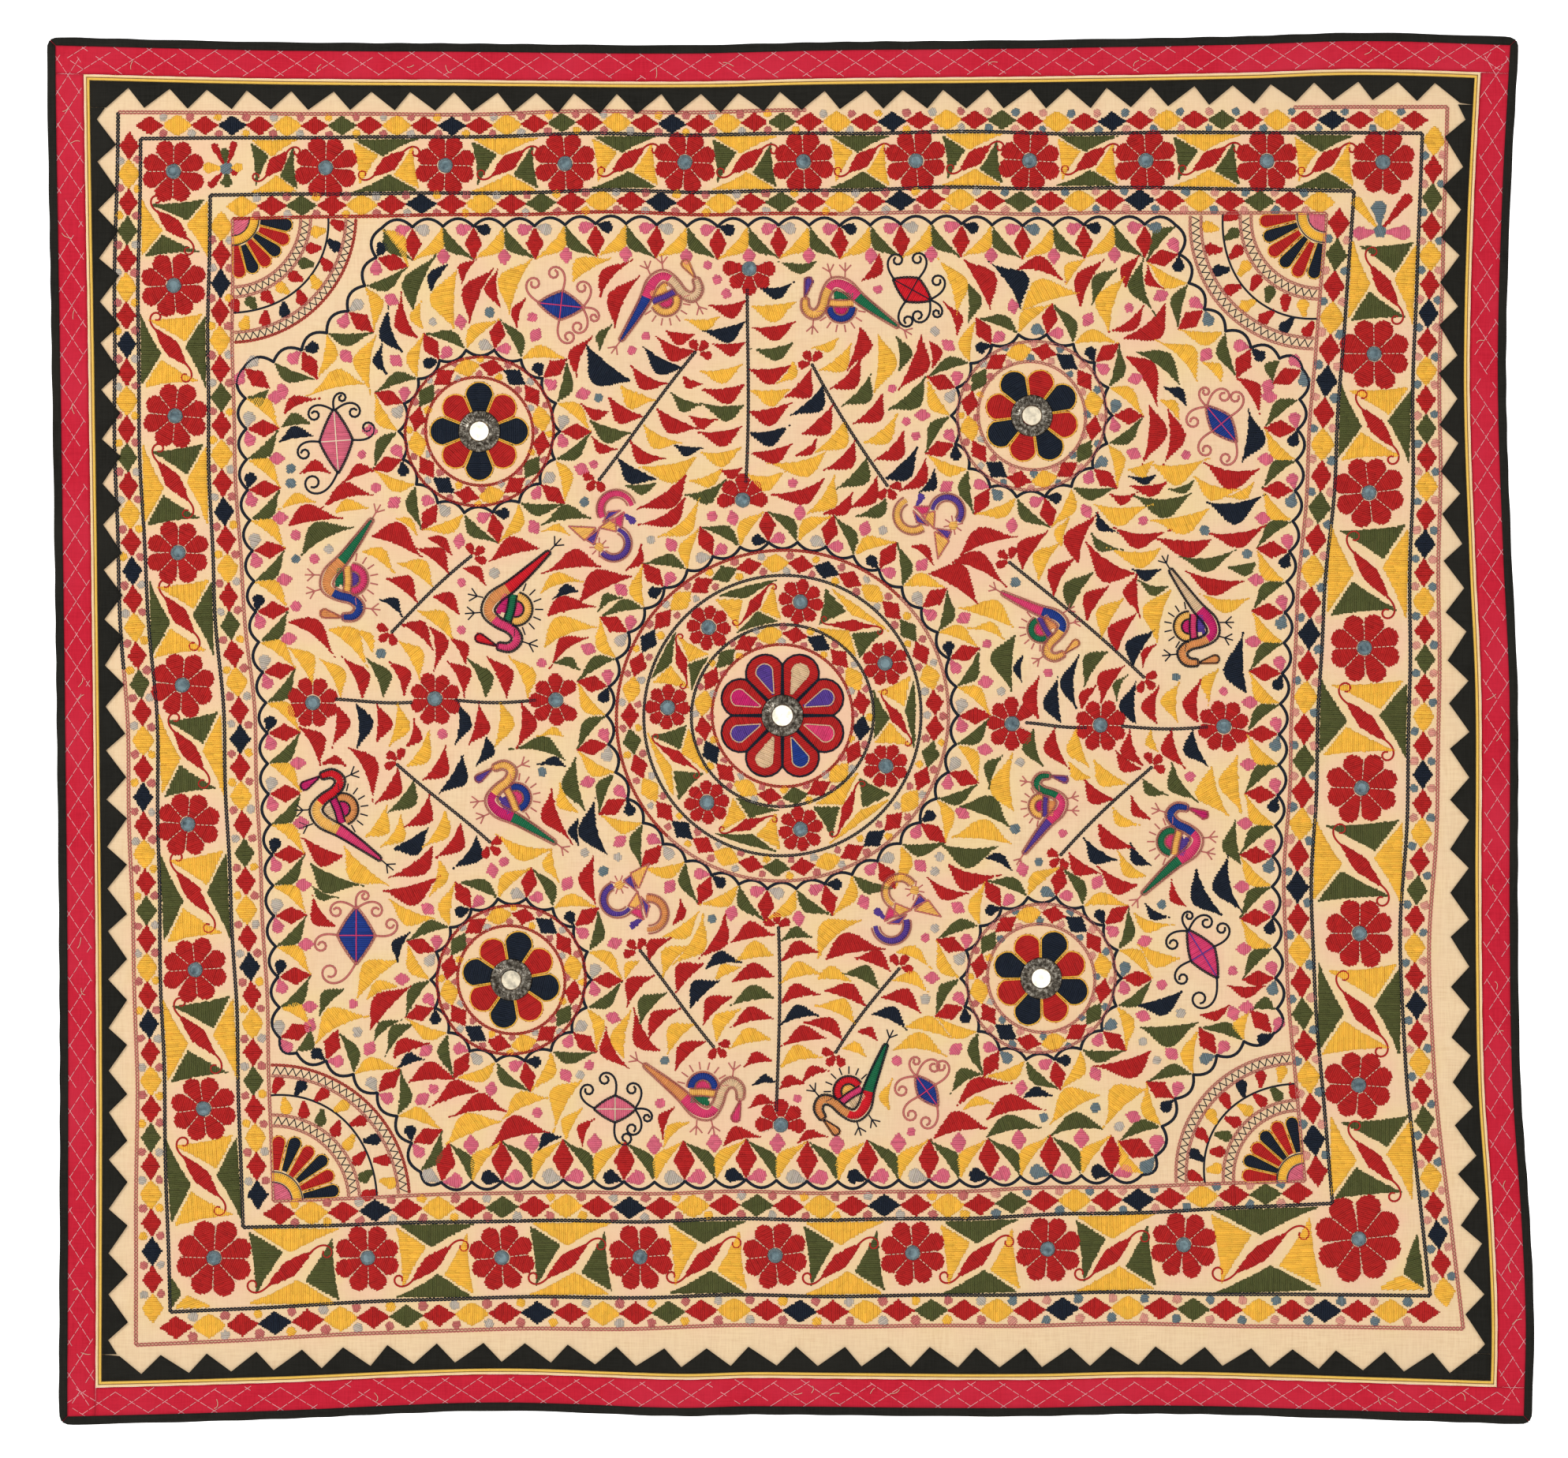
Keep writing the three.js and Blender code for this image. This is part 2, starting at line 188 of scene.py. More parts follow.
def add_node(material, kind, values=(), links=(), **settings):
    """Adds a node with its settings, its input values and its links from other sockets."""
    node = material.node_tree.nodes.new(kind)
    for name, value in settings.items():
        setattr(node, name, value)
    for socket, value in dict(values).items():
        node.inputs[socket].default_value = value
    for socket, source in dict(links).items():
        material.node_tree.links.new(source, node.inputs[socket])
    return node


def new_material(name, values):
    """A material with values set on its Principled shader, and that shader."""
    material = bpy.data.materials.new(name)
    material.use_nodes = True
    shader = material.node_tree.nodes["Principled BSDF"]
    for socket, value in values.items():
        shader.inputs[socket].default_value = value
    return material, shader


def noise(material, place, size, detail):
    """Soft noise whose clouds are about a size in millimetres."""
    return add_node(material, "ShaderNodeTexNoise", {"Scale": 1 / (size * MM), "Detail": detail},
                    {"Vector": place}).outputs["Fac"]


def colour_ramp(material, amount, stops):
    """The colour that an amount has on a ramp through rows of (place, hex colour)."""
    ramp = add_node(material, "ShaderNodeValToRGB", {}, {"Fac": amount})
    for i, (place, hex_colour) in enumerate(stops):
        stop = ramp.color_ramp.elements[i] if i < 2 else ramp.color_ramp.elements.new(place)
        stop.position = place
        stop.color = linear(hex_colour)
    return ramp.outputs["Color"]


def dress(material, shader, colour, height, strength, distance):
    """Links a colour and a bump, with its distance in millimetres, to a shader."""
    bump = add_node(material, "ShaderNodeBump", {"Strength": strength, "Distance": distance * MM},
                    {"Height": height})
    material.node_tree.links.new(colour, shader.inputs["Base Color"])
    material.node_tree.links.new(bump.outputs["Normal"], shader.inputs["Normal"])


FLECK_WIDTH = 1.0
FLECK_LENGTH = 14.0
BLOTCH = 70.0


def woven_cotton(name, light, dark, faded, fade=0.5):
    """Cotton with thread flecks from dark to light, faded in soft blotches."""
    material, shader = new_material(name, {"Roughness": 0.86, "IOR": 1.46, "Sheen Weight": 0.02,
                                           "Sheen Roughness": 0.5, "Specular IOR Level": 0.1})
    place = add_node(material, "ShaderNodeTexCoord").outputs["Object"]
    flecks = []
    for scale in ((FLECK_WIDTH, 1, FLECK_LENGTH), (FLECK_LENGTH, 1, FLECK_WIDTH)):
        threads = add_node(material, "ShaderNodeMapping", {"Scale": [1 / (s * MM) for s in scale]},
                           {"Vector": place})
        flecks.append(add_node(material, "ShaderNodeTexNoise", {"Scale": 1.0, "Detail": 1.0},
                               {"Vector": threads.outputs["Vector"]}).outputs["Fac"])
    weave = add_node(material, "ShaderNodeMath", {}, {0: flecks[0], 1: flecks[1]}, operation="ADD")
    half = add_node(material, "ShaderNodeMath", {1: 0.5}, {0: weave.outputs[0]}, operation="MULTIPLY")
    woven = colour_ramp(material, half.outputs[0], [(0.3, dark), (0.6, light)])
    amount = add_node(material, "ShaderNodeMapRange", {"From Min": 0.42, "From Max": 0.72, "To Max": fade},
                      {"Value": noise(material, place, BLOTCH, 4.0)})
    mixed = add_node(material, "ShaderNodeMixRGB", {"Color2": linear(faded)},
                     {"Fac": amount.outputs[0], "Color1": woven}).outputs["Color"]
    dress(material, shader, mixed, half.outputs[0], 0.35, 0.3)
    return material, shader, mixed


# Unbleached cream cotton, yellowed with age: matt, with flecks a little darker than the ground
cream_cotton, cream_shader, cream_colour = woven_cotton("cream plain-weave cotton", "#F4D7AE", "#E8C69C",
                                                        "#EACDA8")
# Black cotton, worn a little brown: absorbs nearly all light, so lint and weave show only faintly
black_cotton = woven_cotton("black plain-weave cotton", "#24231F", "#1B1A16", "#2B2924")[0]
# Crimson cotton: a strong dye, slightly rubbed to rose where the quilting stands up
crimson_cotton = woven_cotton("crimson plain-weave cotton", "#CB2439", "#BC1C31", "#CE3147", fade=0.7)[0]
# The two thin piping strips: plainer and paler than the cloths beside them
cream_strip = woven_cotton("folded cream cotton", "#FADFAE", "#EFCF9A", "#F4D7A4")[0]
yellow_strip = woven_cotton("folded yellow cotton", "#F6CB62", "#E9B84C", "#F0C45E")[0]
print("cotton materials:", len(bpy.data.materials))

# %% [markdown]
# ## Cloth pieces
# Each cloth is a flat cut: a grid whose points are moved onto the billows, with a Solidify modifier
# for its thickness. A grid keeps the faces along the weave, which a triangulated outline would not.
# Puckers between the stitches are in the surface formula, so thread and cloth move together.

# %% The cream ground
GROUND_THICKNESS = 1.5
GROUND_EDGE = 28.1
GROUND_CELLS = (120, 112)


def link_piece(mesh, material):
    """An object at the origin with a mesh and its one material."""
    mesh.materials.append(material)
    piece = bpy.data.objects.new(mesh.name, mesh)
    bpy.context.scene.collection.objects.link(piece)
    return piece


def shape_piece(name, shape, material, smooth):
    """An object from a bmesh."""
    for face in shape.faces:
        face.smooth = smooth
    mesh = bpy.data.meshes.new(name)
    shape.to_mesh(mesh)
    shape.free()
    return link_piece(mesh, material)


def cloth(name, cells, place, thickness, material, offset=0.0, joined=False):
    """A cloth from a grid: place(across, up) gives its points in metres."""
    shape = bmesh.new()
    bmesh.ops.create_grid(shape, x_segments=cells[0], y_segments=cells[1], size=0.5)
    flat = np.array([vert.co[:2] for vert in shape.verts]) + 0.5
    for vert, point in zip(shape.verts, place(flat[:, 0], flat[:, 1])):
        vert.co = point
    if joined:
        bmesh.ops.remove_doubles(shape, verts=shape.verts, dist=0.02 * MM)
    piece = shape_piece(name, shape, material, True)
    solid = piece.modifiers.new("thickness", "SOLIDIFY")
    solid.thickness, solid.offset = thickness * MM, offset
    return piece


def fit(piece, slot, *nodes):
    """Puts a piece on the hanging's one body, in the place of the solids that it stands for."""
    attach(piece, BODY)
    if nodes:
        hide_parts(*nodes)
    return piece


ground = cloth("embroidered_ground", GROUND_CELLS,
               lambda across, up: on_cloth(*within(inset(GROUND_EDGE), across, up), 0),
               GROUND_THICKNESS, cream_cotton)
fit(ground, "cream_cotton", "ground_cloth")
low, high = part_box("ground_cloth")

# %% [markdown]
# ## The black sawtooth border
# Four strips of black cotton are snipped, the edges turned under and the points slip-stitched down.
# The stations of points and notches repeat the solids; the finer grid lets the cloth follow the
# billows.

# %% Sawtooth strips
TOOTH_BASE, TOOTH_DEPTH, FIRST_TOOTH, TOOTH_AT_BLOCK = 4.6, 20, 12, 0.55
TOOTH_WANDER, PLACE_RATE, DEPTH_RATE = 0.07, 2.4, 1.7
TEETH = {"top": 34, "right": 28, "bottom": 31, "left": 29}
SAWTOOTH_EDGE = 32.9
SAWTOOTH_THICKNESS, SAWTOOTH_ROWS = 1, 4
LAYER_GAP, SIDE_GAP = 0.4, 0.3
ON_GROUND = GROUND_THICKNESS / 2 + LAYER_GAP


def sawtooth_stations(side):
    """Rows of (distance along the side, depth) at points and notches."""
    level = side in ("top", "bottom")
    trim = SAWTOOTH_EDGE + (0 if level else TOOTH_DEPTH + SIDE_GAP)
    length, first = side_length(side), SAWTOOTH_EDGE + FIRST_TOOTH
    pitch = (length - 2 * first) / (TEETH[side] - 1)
    end = TOOTH_DEPTH * (1 if level else TOOTH_AT_BLOCK)
    start_half = 0 if level else 1
    rows = [(trim, end)]
    for half in range(start_half, 2 * (TEETH[side] - 1) - start_half + 1):
        wander = TOOTH_WANDER * math.sin(PLACE_RATE * half)
        shortfall = TOOTH_WANDER * abs(math.sin(DEPTH_RATE * half))
        rows.append((first + (half / 2 + wander) * pitch,
                     TOOTH_DEPTH * (1 - shortfall) if half % 2 == 0 else TOOTH_BASE))
    return np.array(rows + [(length - trim, end)]), trim, length


def sawtooth(side):
    """One strip, from its straight edge to its points."""
    rows, trim, length = sawtooth_stations(side)
    steps = np.arange(len(rows)) / (len(rows) - 1)

    def place(across, up):
        at, depth = np.interp(across, steps, rows[:, 0]), np.interp(across, steps, rows[:, 1])
        x, z = along_side(side, (at - trim) / (length - 2 * trim), trim,
                          SAWTOOTH_EDGE + (1 - up) * depth)
        return on_cloth(x, z, ON_GROUND + SAWTOOTH_THICKNESS / 2)

    piece = cloth(f"sawtooth_applique_{side}", (2 * (len(rows) - 1), SAWTOOTH_ROWS), place,
                  SAWTOOTH_THICKNESS, black_cotton)
    fit(piece, "black_cotton", f"sawtooth_{side}")
    area = np.trapz(rows[:, 1], rows[:, 0])
    return piece


trimmings = [sawtooth(side) for side in SIDES]
print("sawtooth strips:", [piece.name for piece in trimmings])

# %% [markdown]
# ## The double piping
# A cream and a yellow strip, each folded once, peep out between the black border and the band.
# Each is a hump of thin cloth run round all four sides and closed where its ends meet. A curve with
# a bevel would make it too, but the grid keeps the mitred corners of the solids.

# %% Piping
PIPING_WIDTH, PIPING_HEIGHT, PIPING_LEAF = 2.1, 1.8, 0.5
PIPING_STEPS, PIPING_ROWS = 100, 5
# Distance of each strip's outer edge from the hanging's
CREAM_FROM, YELLOW_FROM = 28.1, 30.5


def piping(name, node, starts_at, material, slot):
    """A folded strip round all four sides, from an inset on."""
    def place(across, up):
        ring = across * len(SIDES)
        middle = starts_at + PIPING_WIDTH / 2
        depth_in = middle + PIPING_WIDTH / 2 * np.cos(math.pi * up)
        depth = ON_GROUND + PIPING_HEIGHT * np.sin(math.pi * up) ** 0.7
        points = np.zeros((len(across), 3))
        for i, side in enumerate(SIDES):
            here = np.floor(np.minimum(ring + 1e-6, len(SIDES) - 1e-3)) == i
            x, z = along_side(side, np.clip(ring[here] - i, 0, 1), depth_in[here], depth_in[here])
            points[here] = on_cloth(x, z, depth[here])
        return points

    piece = cloth(name, (len(SIDES) * PIPING_STEPS, PIPING_ROWS), place, PIPING_LEAF, material, -1.0,
                  joined=True)
    return fit(piece, slot, node)


trimmings.append(piping("cream_piping_fold", "piping_cream", CREAM_FROM, cream_strip, "cream_piping"))
trimmings.append(piping("yellow_piping_fold", "piping_yellow", YELLOW_FROM, yellow_strip, "yellow_piping"))
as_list(trimmings[-2:])
print("piping points:", len(trimmings[-1].data.vertices))

# %% [markdown]
# ## The quilted crimson band
# The band is two layers of crimson cotton held together by a lattice of pale running stitches; the
# rhombs between the stitches stand up a little. Here the grid's points are raised by a formula that
# is zero on the lattice lines, so light and silhouette both show the quilting.

# %% Band strips
BAND_THICKNESS = 2
BAND_EDGE, BAND_INNER = 1.4, 27.8
RHOMB_LENGTH, RHOMB_ACROSS, RHOMB_RISE = 25.0, 16.2, 0.45
BAND_CELL, BAND_ROWS = 3.4, 9


def quilting(along, across):
    """How far the band stands up between the lattice's lines, from 0 to 1."""
    rising = np.abs(np.sin(math.pi * (along / RHOMB_LENGTH + across / RHOMB_ACROSS)))
    falling = np.abs(np.sin(math.pi * (along / RHOMB_LENGTH - across / RHOMB_ACROSS)))
    return np.sqrt(np.minimum(rising, falling))


def band(side, region):
    """One quilted strip; the strips along the sides have their cells turned."""
    level = side in ("top", "bottom")

    def place(across, up):
        x, z = within(region, across, up)
        depth_in = np.abs((z - edge_at(side, x)) if level else (x - edge_at(side, z)))
        rise = RHOMB_RISE * quilting(x if level else z, depth_in)
        return on_cloth(x, z, rise)

    length = side_length(side)
    cells = (round(length / BAND_CELL), BAND_ROWS)
    piece = cloth(f"quilted_band_{side}", cells if level else cells[::-1], place, BAND_THICKNESS,
                  crimson_cotton)
    fit(piece, "crimson_cotton", f"band_{side}")
    return piece


outer, inner, beyond = inset(BAND_EDGE), inset(BAND_INNER), inset(BAND_INNER + SIDE_GAP)
BAND_REGIONS = {
    "top": {**outer, "bottom": inner["top"]},
    "left": {**outer, "top": beyond["top"], "right": inner["left"]},
    "bottom": {**outer, "left": beyond["left"], "top": inner["bottom"]},
    "right": {"left": inner["right"], "right": outer["right"], "top": beyond["top"],
              "bottom": beyond["bottom"]},
}
bands = [band(side, region) for side, region in BAND_REGIONS.items()]
print("bands:", [piece.name for piece in bands])

# %% [markdown]
# ## The black binding
# A straight strip is folded over the raw edge, sewn through and mitred at the corners. Its section
# is a flat front leaf, a round fold and a flat back leaf, so the grid's second direction simply runs
# along that section. Small ripples along the fold are what the sewing does to a narrow strip.

# %% Binding strips
BINDING_WIDTH, BINDING_LEAF = 6.2, 1
FOLD_RADIUS = BAND_THICKNESS / 2 + LAYER_GAP + BINDING_LEAF / 2
BINDING_CELL, BINDING_ROWS = 5, 12
BINDING_RIPPLE = 0.18
RIPPLE_LENGTH, RIPPLE_CHANGES = 7.0, 23


def binding(side):
    """One strip, folded over the edge."""
    length = side_length(side)
    leaf = BINDING_WIDTH - FOLD_RADIUS
    fold = math.pi * FOLD_RADIUS
    cut = 2 * leaf + fold

    def place(across, up):
        run = up * cut
        turn = np.clip((run - leaf) / fold, 0, 1) * math.pi
        straight = np.maximum(leaf - run, 0) + np.maximum(run - leaf - fold, 0)
        depth_in = FOLD_RADIUS - FOLD_RADIUS * np.sin(turn) + straight + BINDING_LEAF / 2
        phase = across * length / RIPPLE_LENGTH + 3 * np.sin(across * RIPPLE_CHANGES)
        ripple = BINDING_RIPPLE * np.sin(phase) * np.sin(turn)
        x, z = along_side(side, across, depth_in + SIDE_GAP, depth_in + ripple)
        return on_cloth(x, z, FOLD_RADIUS * np.cos(turn))

    piece = cloth(f"folded_binding_{side}", (round(length / BINDING_CELL), BINDING_ROWS), place,
                  BINDING_LEAF, black_cotton)
    fit(piece, "black_cotton", f"binding_{side}")
    return piece


bindings = [binding(side) for side in SIDES]
print("bindings:", [piece.name for piece in bindings])

# %% [markdown]
# ## Stitches
# A satin stitch is one straight thread from edge to edge of a shape; where the shape is wide, two
# shorter stitches share the way. Tens of thousands of them are too many for operators, so they are
# rows of numbers, and arrays turn all rows into small closed spindles. A chain link is two short
# bowed strands. Points of the plane are complex numbers, x + iz in millimetres, because a turn is
# then one multiplication.

# %% Thread colours and the stitch rows
THREADS = {
    "red": "#B81F1E", "yellow": "#F9BE44", "green": "#52552B", "navy": "#141D2B", "pink": "#DE6C82",
    "salmon": "#C8706A", "grey": "#6E7D82", "silver": "#C2B6A8", "rim": "#75858A", "slate": "#34383A",
    "sand": "#E0BE96", "orange": "#E09456", "peach": "#F3B95E", "magenta": "#C9226A", "rose": "#DB3F70",
    "blue": "#1F3B8A", "purple": "#5A3D92", "emerald": "#1B6E48", "scarlet": "#D61B28",
    "pale": "#F4DFC0", "lattice": "#F3AEB2", "shell": "#DF9C8A",
}
THREAD_NAMES = list(THREADS)
PITCH = 1.45
STITCH_WIDTH = 1.95
STITCH_HEIGHT = 0.5
LONGEST, SHORTEST = 11.0, 0.7
# Unevenness of the rows and of the stitch ends, how far ends pass an outline, and how far the two
# parts of a long stitch overlap
ROW_JITTER, END_JITTER, OVERSHOOT, OVERLAP = 0.12, 0.28, 0.4, 0.5
embroidery = {}


def lay(piece, starts, ends, colour, width=STITCH_WIDTH, lift=0.0, sway=0.0, height=STITCH_HEIGHT,
        strand="satin"):
    """Adds straight stitches to a piece; lift is how high they, or their two ends, stand off the cloth."""
    starts, ends = np.atleast_1d(starts).astype(complex), np.atleast_1d(ends).astype(complex)
    names = [colour] * len(starts) if isinstance(colour, str) else colour
    codes = np.array([THREAD_NAMES.index(name) for name in names], float)
    values = (width, *np.broadcast_to(lift, 2), sway, height)
    full = [np.broadcast_to(value, len(starts)) for value in values]
    rows = np.column_stack([starts.real, starts.imag, ends.real, ends.imag, *full, codes])
    embroidery.setdefault(piece, {}).setdefault(strand, []).append(rows)


# Which part of the plane is worked already, in square cells
CELL = 1.5
WORKED_FROM, WORKED_TO = -470 - 950j, 470 - 80j
worked_size = (WORKED_TO - WORKED_FROM) / CELL
worked = np.zeros((int(worked_size.real), int(worked_size.imag)), bool)


def inside(outline, points):
    """Which points lie inside a closed outline, by counting crossed edges."""
    a, b = outline[None, :], np.roll(outline, -1)[None, :]
    p = points[:, None]
    crossed = (a.imag <= p.imag) != (b.imag <= p.imag)
    rise = np.where(crossed, b.imag - a.imag, 1.0)
    at = a.real + (p.imag - a.imag) / rise * (b.real - a.real)
    return (crossed & (at > p.real)).sum(1) % 2 == 1


def cells_in(outline):
    """Indices of the cells whose middles lie in an outline."""
    low = complex(outline.real.min(), outline.imag.min()) - WORKED_FROM
    high = complex(outline.real.max(), outline.imag.max()) - WORKED_FROM
    i = np.arange(max(int(low.real / CELL), 0), min(int(high.real / CELL) + 1, worked.shape[0]))
    j = np.arange(max(int(low.imag / CELL), 0), min(int(high.imag / CELL) + 1, worked.shape[1]))
    if not len(i) or not len(j):
        return np.zeros(0, int), np.zeros(0, int)
    grid_i, grid_j = (g.ravel() for g in np.meshgrid(i, j, indexing="ij"))
    middles = WORKED_FROM + CELL * (grid_i + 0.5 + 1j * (grid_j + 0.5))
    found = inside(outline, middles)
    return grid_i[found], grid_j[found]


def cell_of(points):
    """Indices of the cells in which points lie."""
    off = points - WORKED_FROM
    return (off.real / CELL).astype(int), (off.imag / CELL).astype(int)


def mark_path(points):
    """Marks the cells along a path, and those beside them, as worked."""
    i, j = cell_of(points)
    kept = (i > 0) & (j > 0) & (i < worked.shape[0] - 1) & (j < worked.shape[1] - 1)
    for step_i in (-1, 0, 1):
        for step_j in (-1, 0, 1):
            worked[i[kept] + step_i, j[kept] + step_j] = True


def fill(piece, outline, colour, lean, lift=0.0):
    """Satin stitch: close parallel stitches, at an angle, from edge to edge of an outline."""
    worked[cells_in(outline)] = True
    turned = outline * np.exp(-1j * lean)
    a, b = turned, np.roll(turned, -1)
    levels = np.arange(turned.imag.min() + 0.4 * PITCH, turned.imag.max(), PITCH)
    levels = levels + rng.uniform(-ROW_JITTER, ROW_JITTER, len(levels))
    crossed = (a.imag[None] <= levels[:, None]) != (b.imag[None] <= levels[:, None])
    row, edge = np.nonzero(crossed)
    share = (levels[row] - a.imag[edge]) / (b.imag[edge] - a.imag[edge])
    at = a.real[edge] + share * (b.real[edge] - a.real[edge])
    order = np.lexsort((at, row))
    ends = at[order].reshape(-1, 2) + rng.normal(0, END_JITTER, (len(at) // 2, 2))
    ends = ends + [-OVERSHOOT, OVERSHOOT]
    level = levels[row[order][::2]]
    long = ends[:, 1] - ends[:, 0] > LONGEST
    cut = ends[:, 0] + (ends[:, 1] - ends[:, 0]) * rng.uniform(0.35, 0.65, len(ends))
    first = np.column_stack([ends[:, 0], np.where(long, cut + OVERLAP, ends[:, 1])])
    second = np.column_stack([cut - OVERLAP, ends[:, 1]])[long]
    both, levels = np.vstack([first, second]), np.concatenate([level, level[long]])
    kept = both[:, 1] - both[:, 0] > SHORTEST
    line = (both[kept] + 1j * levels[kept, None]) * np.exp(1j * lean)
    width = STITCH_WIDTH * rng.uniform(0.9, 1.1, len(line))
    lay(piece, line[:, 0], line[:, 1], colour, width, lift)


def length_of(path):
    return np.abs(np.diff(path)).sum()


def unit(way):
    """A way, or several, with a length of 1."""
    return way / np.abs(way)


def left_of(path):
    """At each point of a path, the way to its left."""
    return 1j * unit(np.gradient(path))


def closed(outline):
    return np.append(outline, outline[0])


def resample(path, step):
    """Points at equal steps along a path, both ends kept."""
    run = np.concatenate([[0], np.cumsum(np.abs(np.diff(path)))])
    at = np.linspace(0, run[-1], max(int(round(run[-1] / step)), 1) + 1)
    return np.interp(at, run, path.real) + 1j * np.interp(at, run, path.imag)


# Width of a link's strands and hole together, then of the hole alone, as shares of the chain's: the
# pale pink chains are worked loosest
LINK_SPREAD, LOOSE_HOLE, TIGHT_HOLE = 1.08, 0.24, 0.08
# How far links and stem stitches run into their neighbours, in steps, and how high they stand
LINK_LAP, LINK_HEIGHT, STEM_LAP, STEM_HEIGHT = 0.16, 0.75, 0.22, 0.6


def chain(piece, path, colour, width, link=2.8, lift=0.1):
    """Chain stitch: each link is two bowed strands with a small hole between them."""
    points = resample(np.asarray(path), link)
    mark_path(points)
    way = np.diff(points)
    hole = LOOSE_HOLE if colour == "salmon" else TIGHT_HOLE
    strand = (LINK_SPREAD - hole) / 2
    for side in (1, -1):
        lay(piece, points[:-1] - LINK_LAP * way, points[1:] + LINK_LAP * way, colour, strand * width, lift,
            side * (strand + hole) / 2 * width, LINK_HEIGHT, "link")


def stem_stitch(piece, path, colour, width, step=2.6, lift=0.1):
    """A solid line of short overlapping stitches."""
    points = resample(np.asarray(path), step)
    mark_path(points)
    way = np.diff(points)
    lay(piece, points[:-1] - STEM_LAP * way, points[1:] + STEM_LAP * way, colour, width, lift, 0.0,
        STEM_HEIGHT)


def ribbon(piece, spine, widths, colours):
    """A band of satin stitches laid across a spine; colours are (share, name) rows to that share."""
    points = resample(np.asarray(spine), PITCH)
    share = np.linspace(0, 1, len(points))
    half = np.interp(share, np.linspace(0, 1, len(widths)), widths) / 2
    side = left_of(points) * half
    worked[cells_in(np.concatenate([points + side, (points - side)[::-1]]))] = True
    ends = [end for end, _ in colours]
    names = [colours[min(np.searchsorted(ends, s), len(colours) - 1)][1] for s in share]
    lay(piece, points - side, points + side, names)


print("thread colours:", len(THREADS), "cells for worked places:", worked.shape)

# %% [markdown]
# ## Shapes to fill
# The worker drew every motif from a few strokes: bowed lines between corners, round-ended petals and
# arcs. A leaf is two bows between the same two tips, a lozenge is four bows that pinch inwards. Such
# outlines need only their corners and the rise of each bow, so no shape here is a list of points.

# %% Bows, leaves, lozenges, petals and flowers
BOW_STEPS = 9


def bow(a, b, rise, peak=0.5):
    """From a to b on a curve that stands off to the left by rise; b itself is left out."""
    t = np.linspace(0, 1, BOW_STEPS, endpoint=False)
    control = a + (b - a) * peak + 2j * rise * unit(b - a)
    return (1 - t) ** 2 * a + 2 * t * (1 - t) * control + t * t * b


def patch(*corners):
    """A closed outline from rows of (corner, rise of the bow to the next corner)."""
    following = corners[1:] + corners[:1]
    return np.concatenate([bow(a, b, rise) for (a, rise), (b, _) in zip(corners, following)])


def arc(centre, radius, start, end, steps=40):
    """Points of a circle between two angles."""
    return centre + radius * np.exp(1j * np.linspace(start, end, steps))


# 1 rounds a leaf's belly like a sine curve, and more draws its tips out
LEAF_POINT = 1.6
LEAF_LEAN = 0.2


def leaf_outline(a, b, belly, hollow, peak):
    """Drawn-out tips at a and b, a belly to the left that is fullest at the peak, and a hollow back."""
    t = np.linspace(0, 1, 18, endpoint=False)
    rise = np.sin(math.pi * t ** (math.log(0.5) / math.log(peak))) ** LEAF_POINT
    front = a + (b - a) * (t + 1j * rise * belly / abs(b - a))
    return np.concatenate([front, bow(b, a, -hollow, 1 - peak)])


def leaf(piece, shape, colour):
    """A boat-shaped leaf, stitched nearly across its length; shape is what leaf_outline takes."""
    fill(piece, leaf_outline(*shape), colour, np.angle(shape[1] - shape[0]) + math.pi / 2 + LEAF_LEAN)


def lozenge(piece, a, b, width, colour, pinch):
    """A diamond from tip to tip, whose edges pinch in or swell, stitched across its length."""
    middle, half = (a + b) / 2, 0.5j * width * unit(b - a)
    fill(piece, patch((a, pinch), (middle - half, pinch), (b, pinch), (middle + half, pinch)), colour,
         np.angle(half))


def petal_outline(root, tip, narrow, wide):
    """Straight sides from a narrow root to a round cap."""
    length = abs(tip - root)
    cap = length - wide / 2 + wide / 2 * np.exp(1j * np.linspace(-1.45, 1.45, 9))
    shape = np.concatenate([[-0.5j * narrow], cap, [0.5j * narrow]])
    return root + (tip - root) / length * shape


def petal(piece, root, tip, narrow, wide, colour):
    fill(piece, petal_outline(root, tip, narrow, wide), colour, np.angle(tip - root) + math.pi / 2)


def dot_outline(centre, radius):
    return arc(centre, radius, 0, 2 * math.pi, 13)[:-1]


def dot(piece, centre, radius, colour):
    fill(piece, dot_outline(centre, radius), colour, rng.uniform(0, math.pi))


# How high the rim's stitches begin, on the glass, and between which radii they begin and end
MIRROR_FRONT = 1.55
RIM_STITCHES, RIM_INNER, RIM_OUTER = 26, (3.3, 3.7), (5.5, 5.9)
# Petals of a flower, the radius where they begin, and the pale dashes between them
PETALS, PETAL_ROOT = 8, 5.8
FIRST_DASH, DASH_STEP, DASH_LENGTH = 7.0, 3.2, 2.1


def mirror_rim(piece, centre):
    """Radial stitches over the edge of a small mirror."""
    ray = np.exp(2j * math.pi * (np.arange(RIM_STITCHES) + rng.uniform(0, 1)) / RIM_STITCHES)
    inner = rng.uniform(*RIM_INNER, RIM_STITCHES)
    names = ["rim" if rng.random() < 0.75 else "grey" for _ in ray]
    lay(piece, centre + ray * inner, centre + ray * rng.uniform(*RIM_OUTER, RIM_STITCHES), names, 1.5,
        (MIRROR_FRONT, 0.05), 0.0, 0.6)


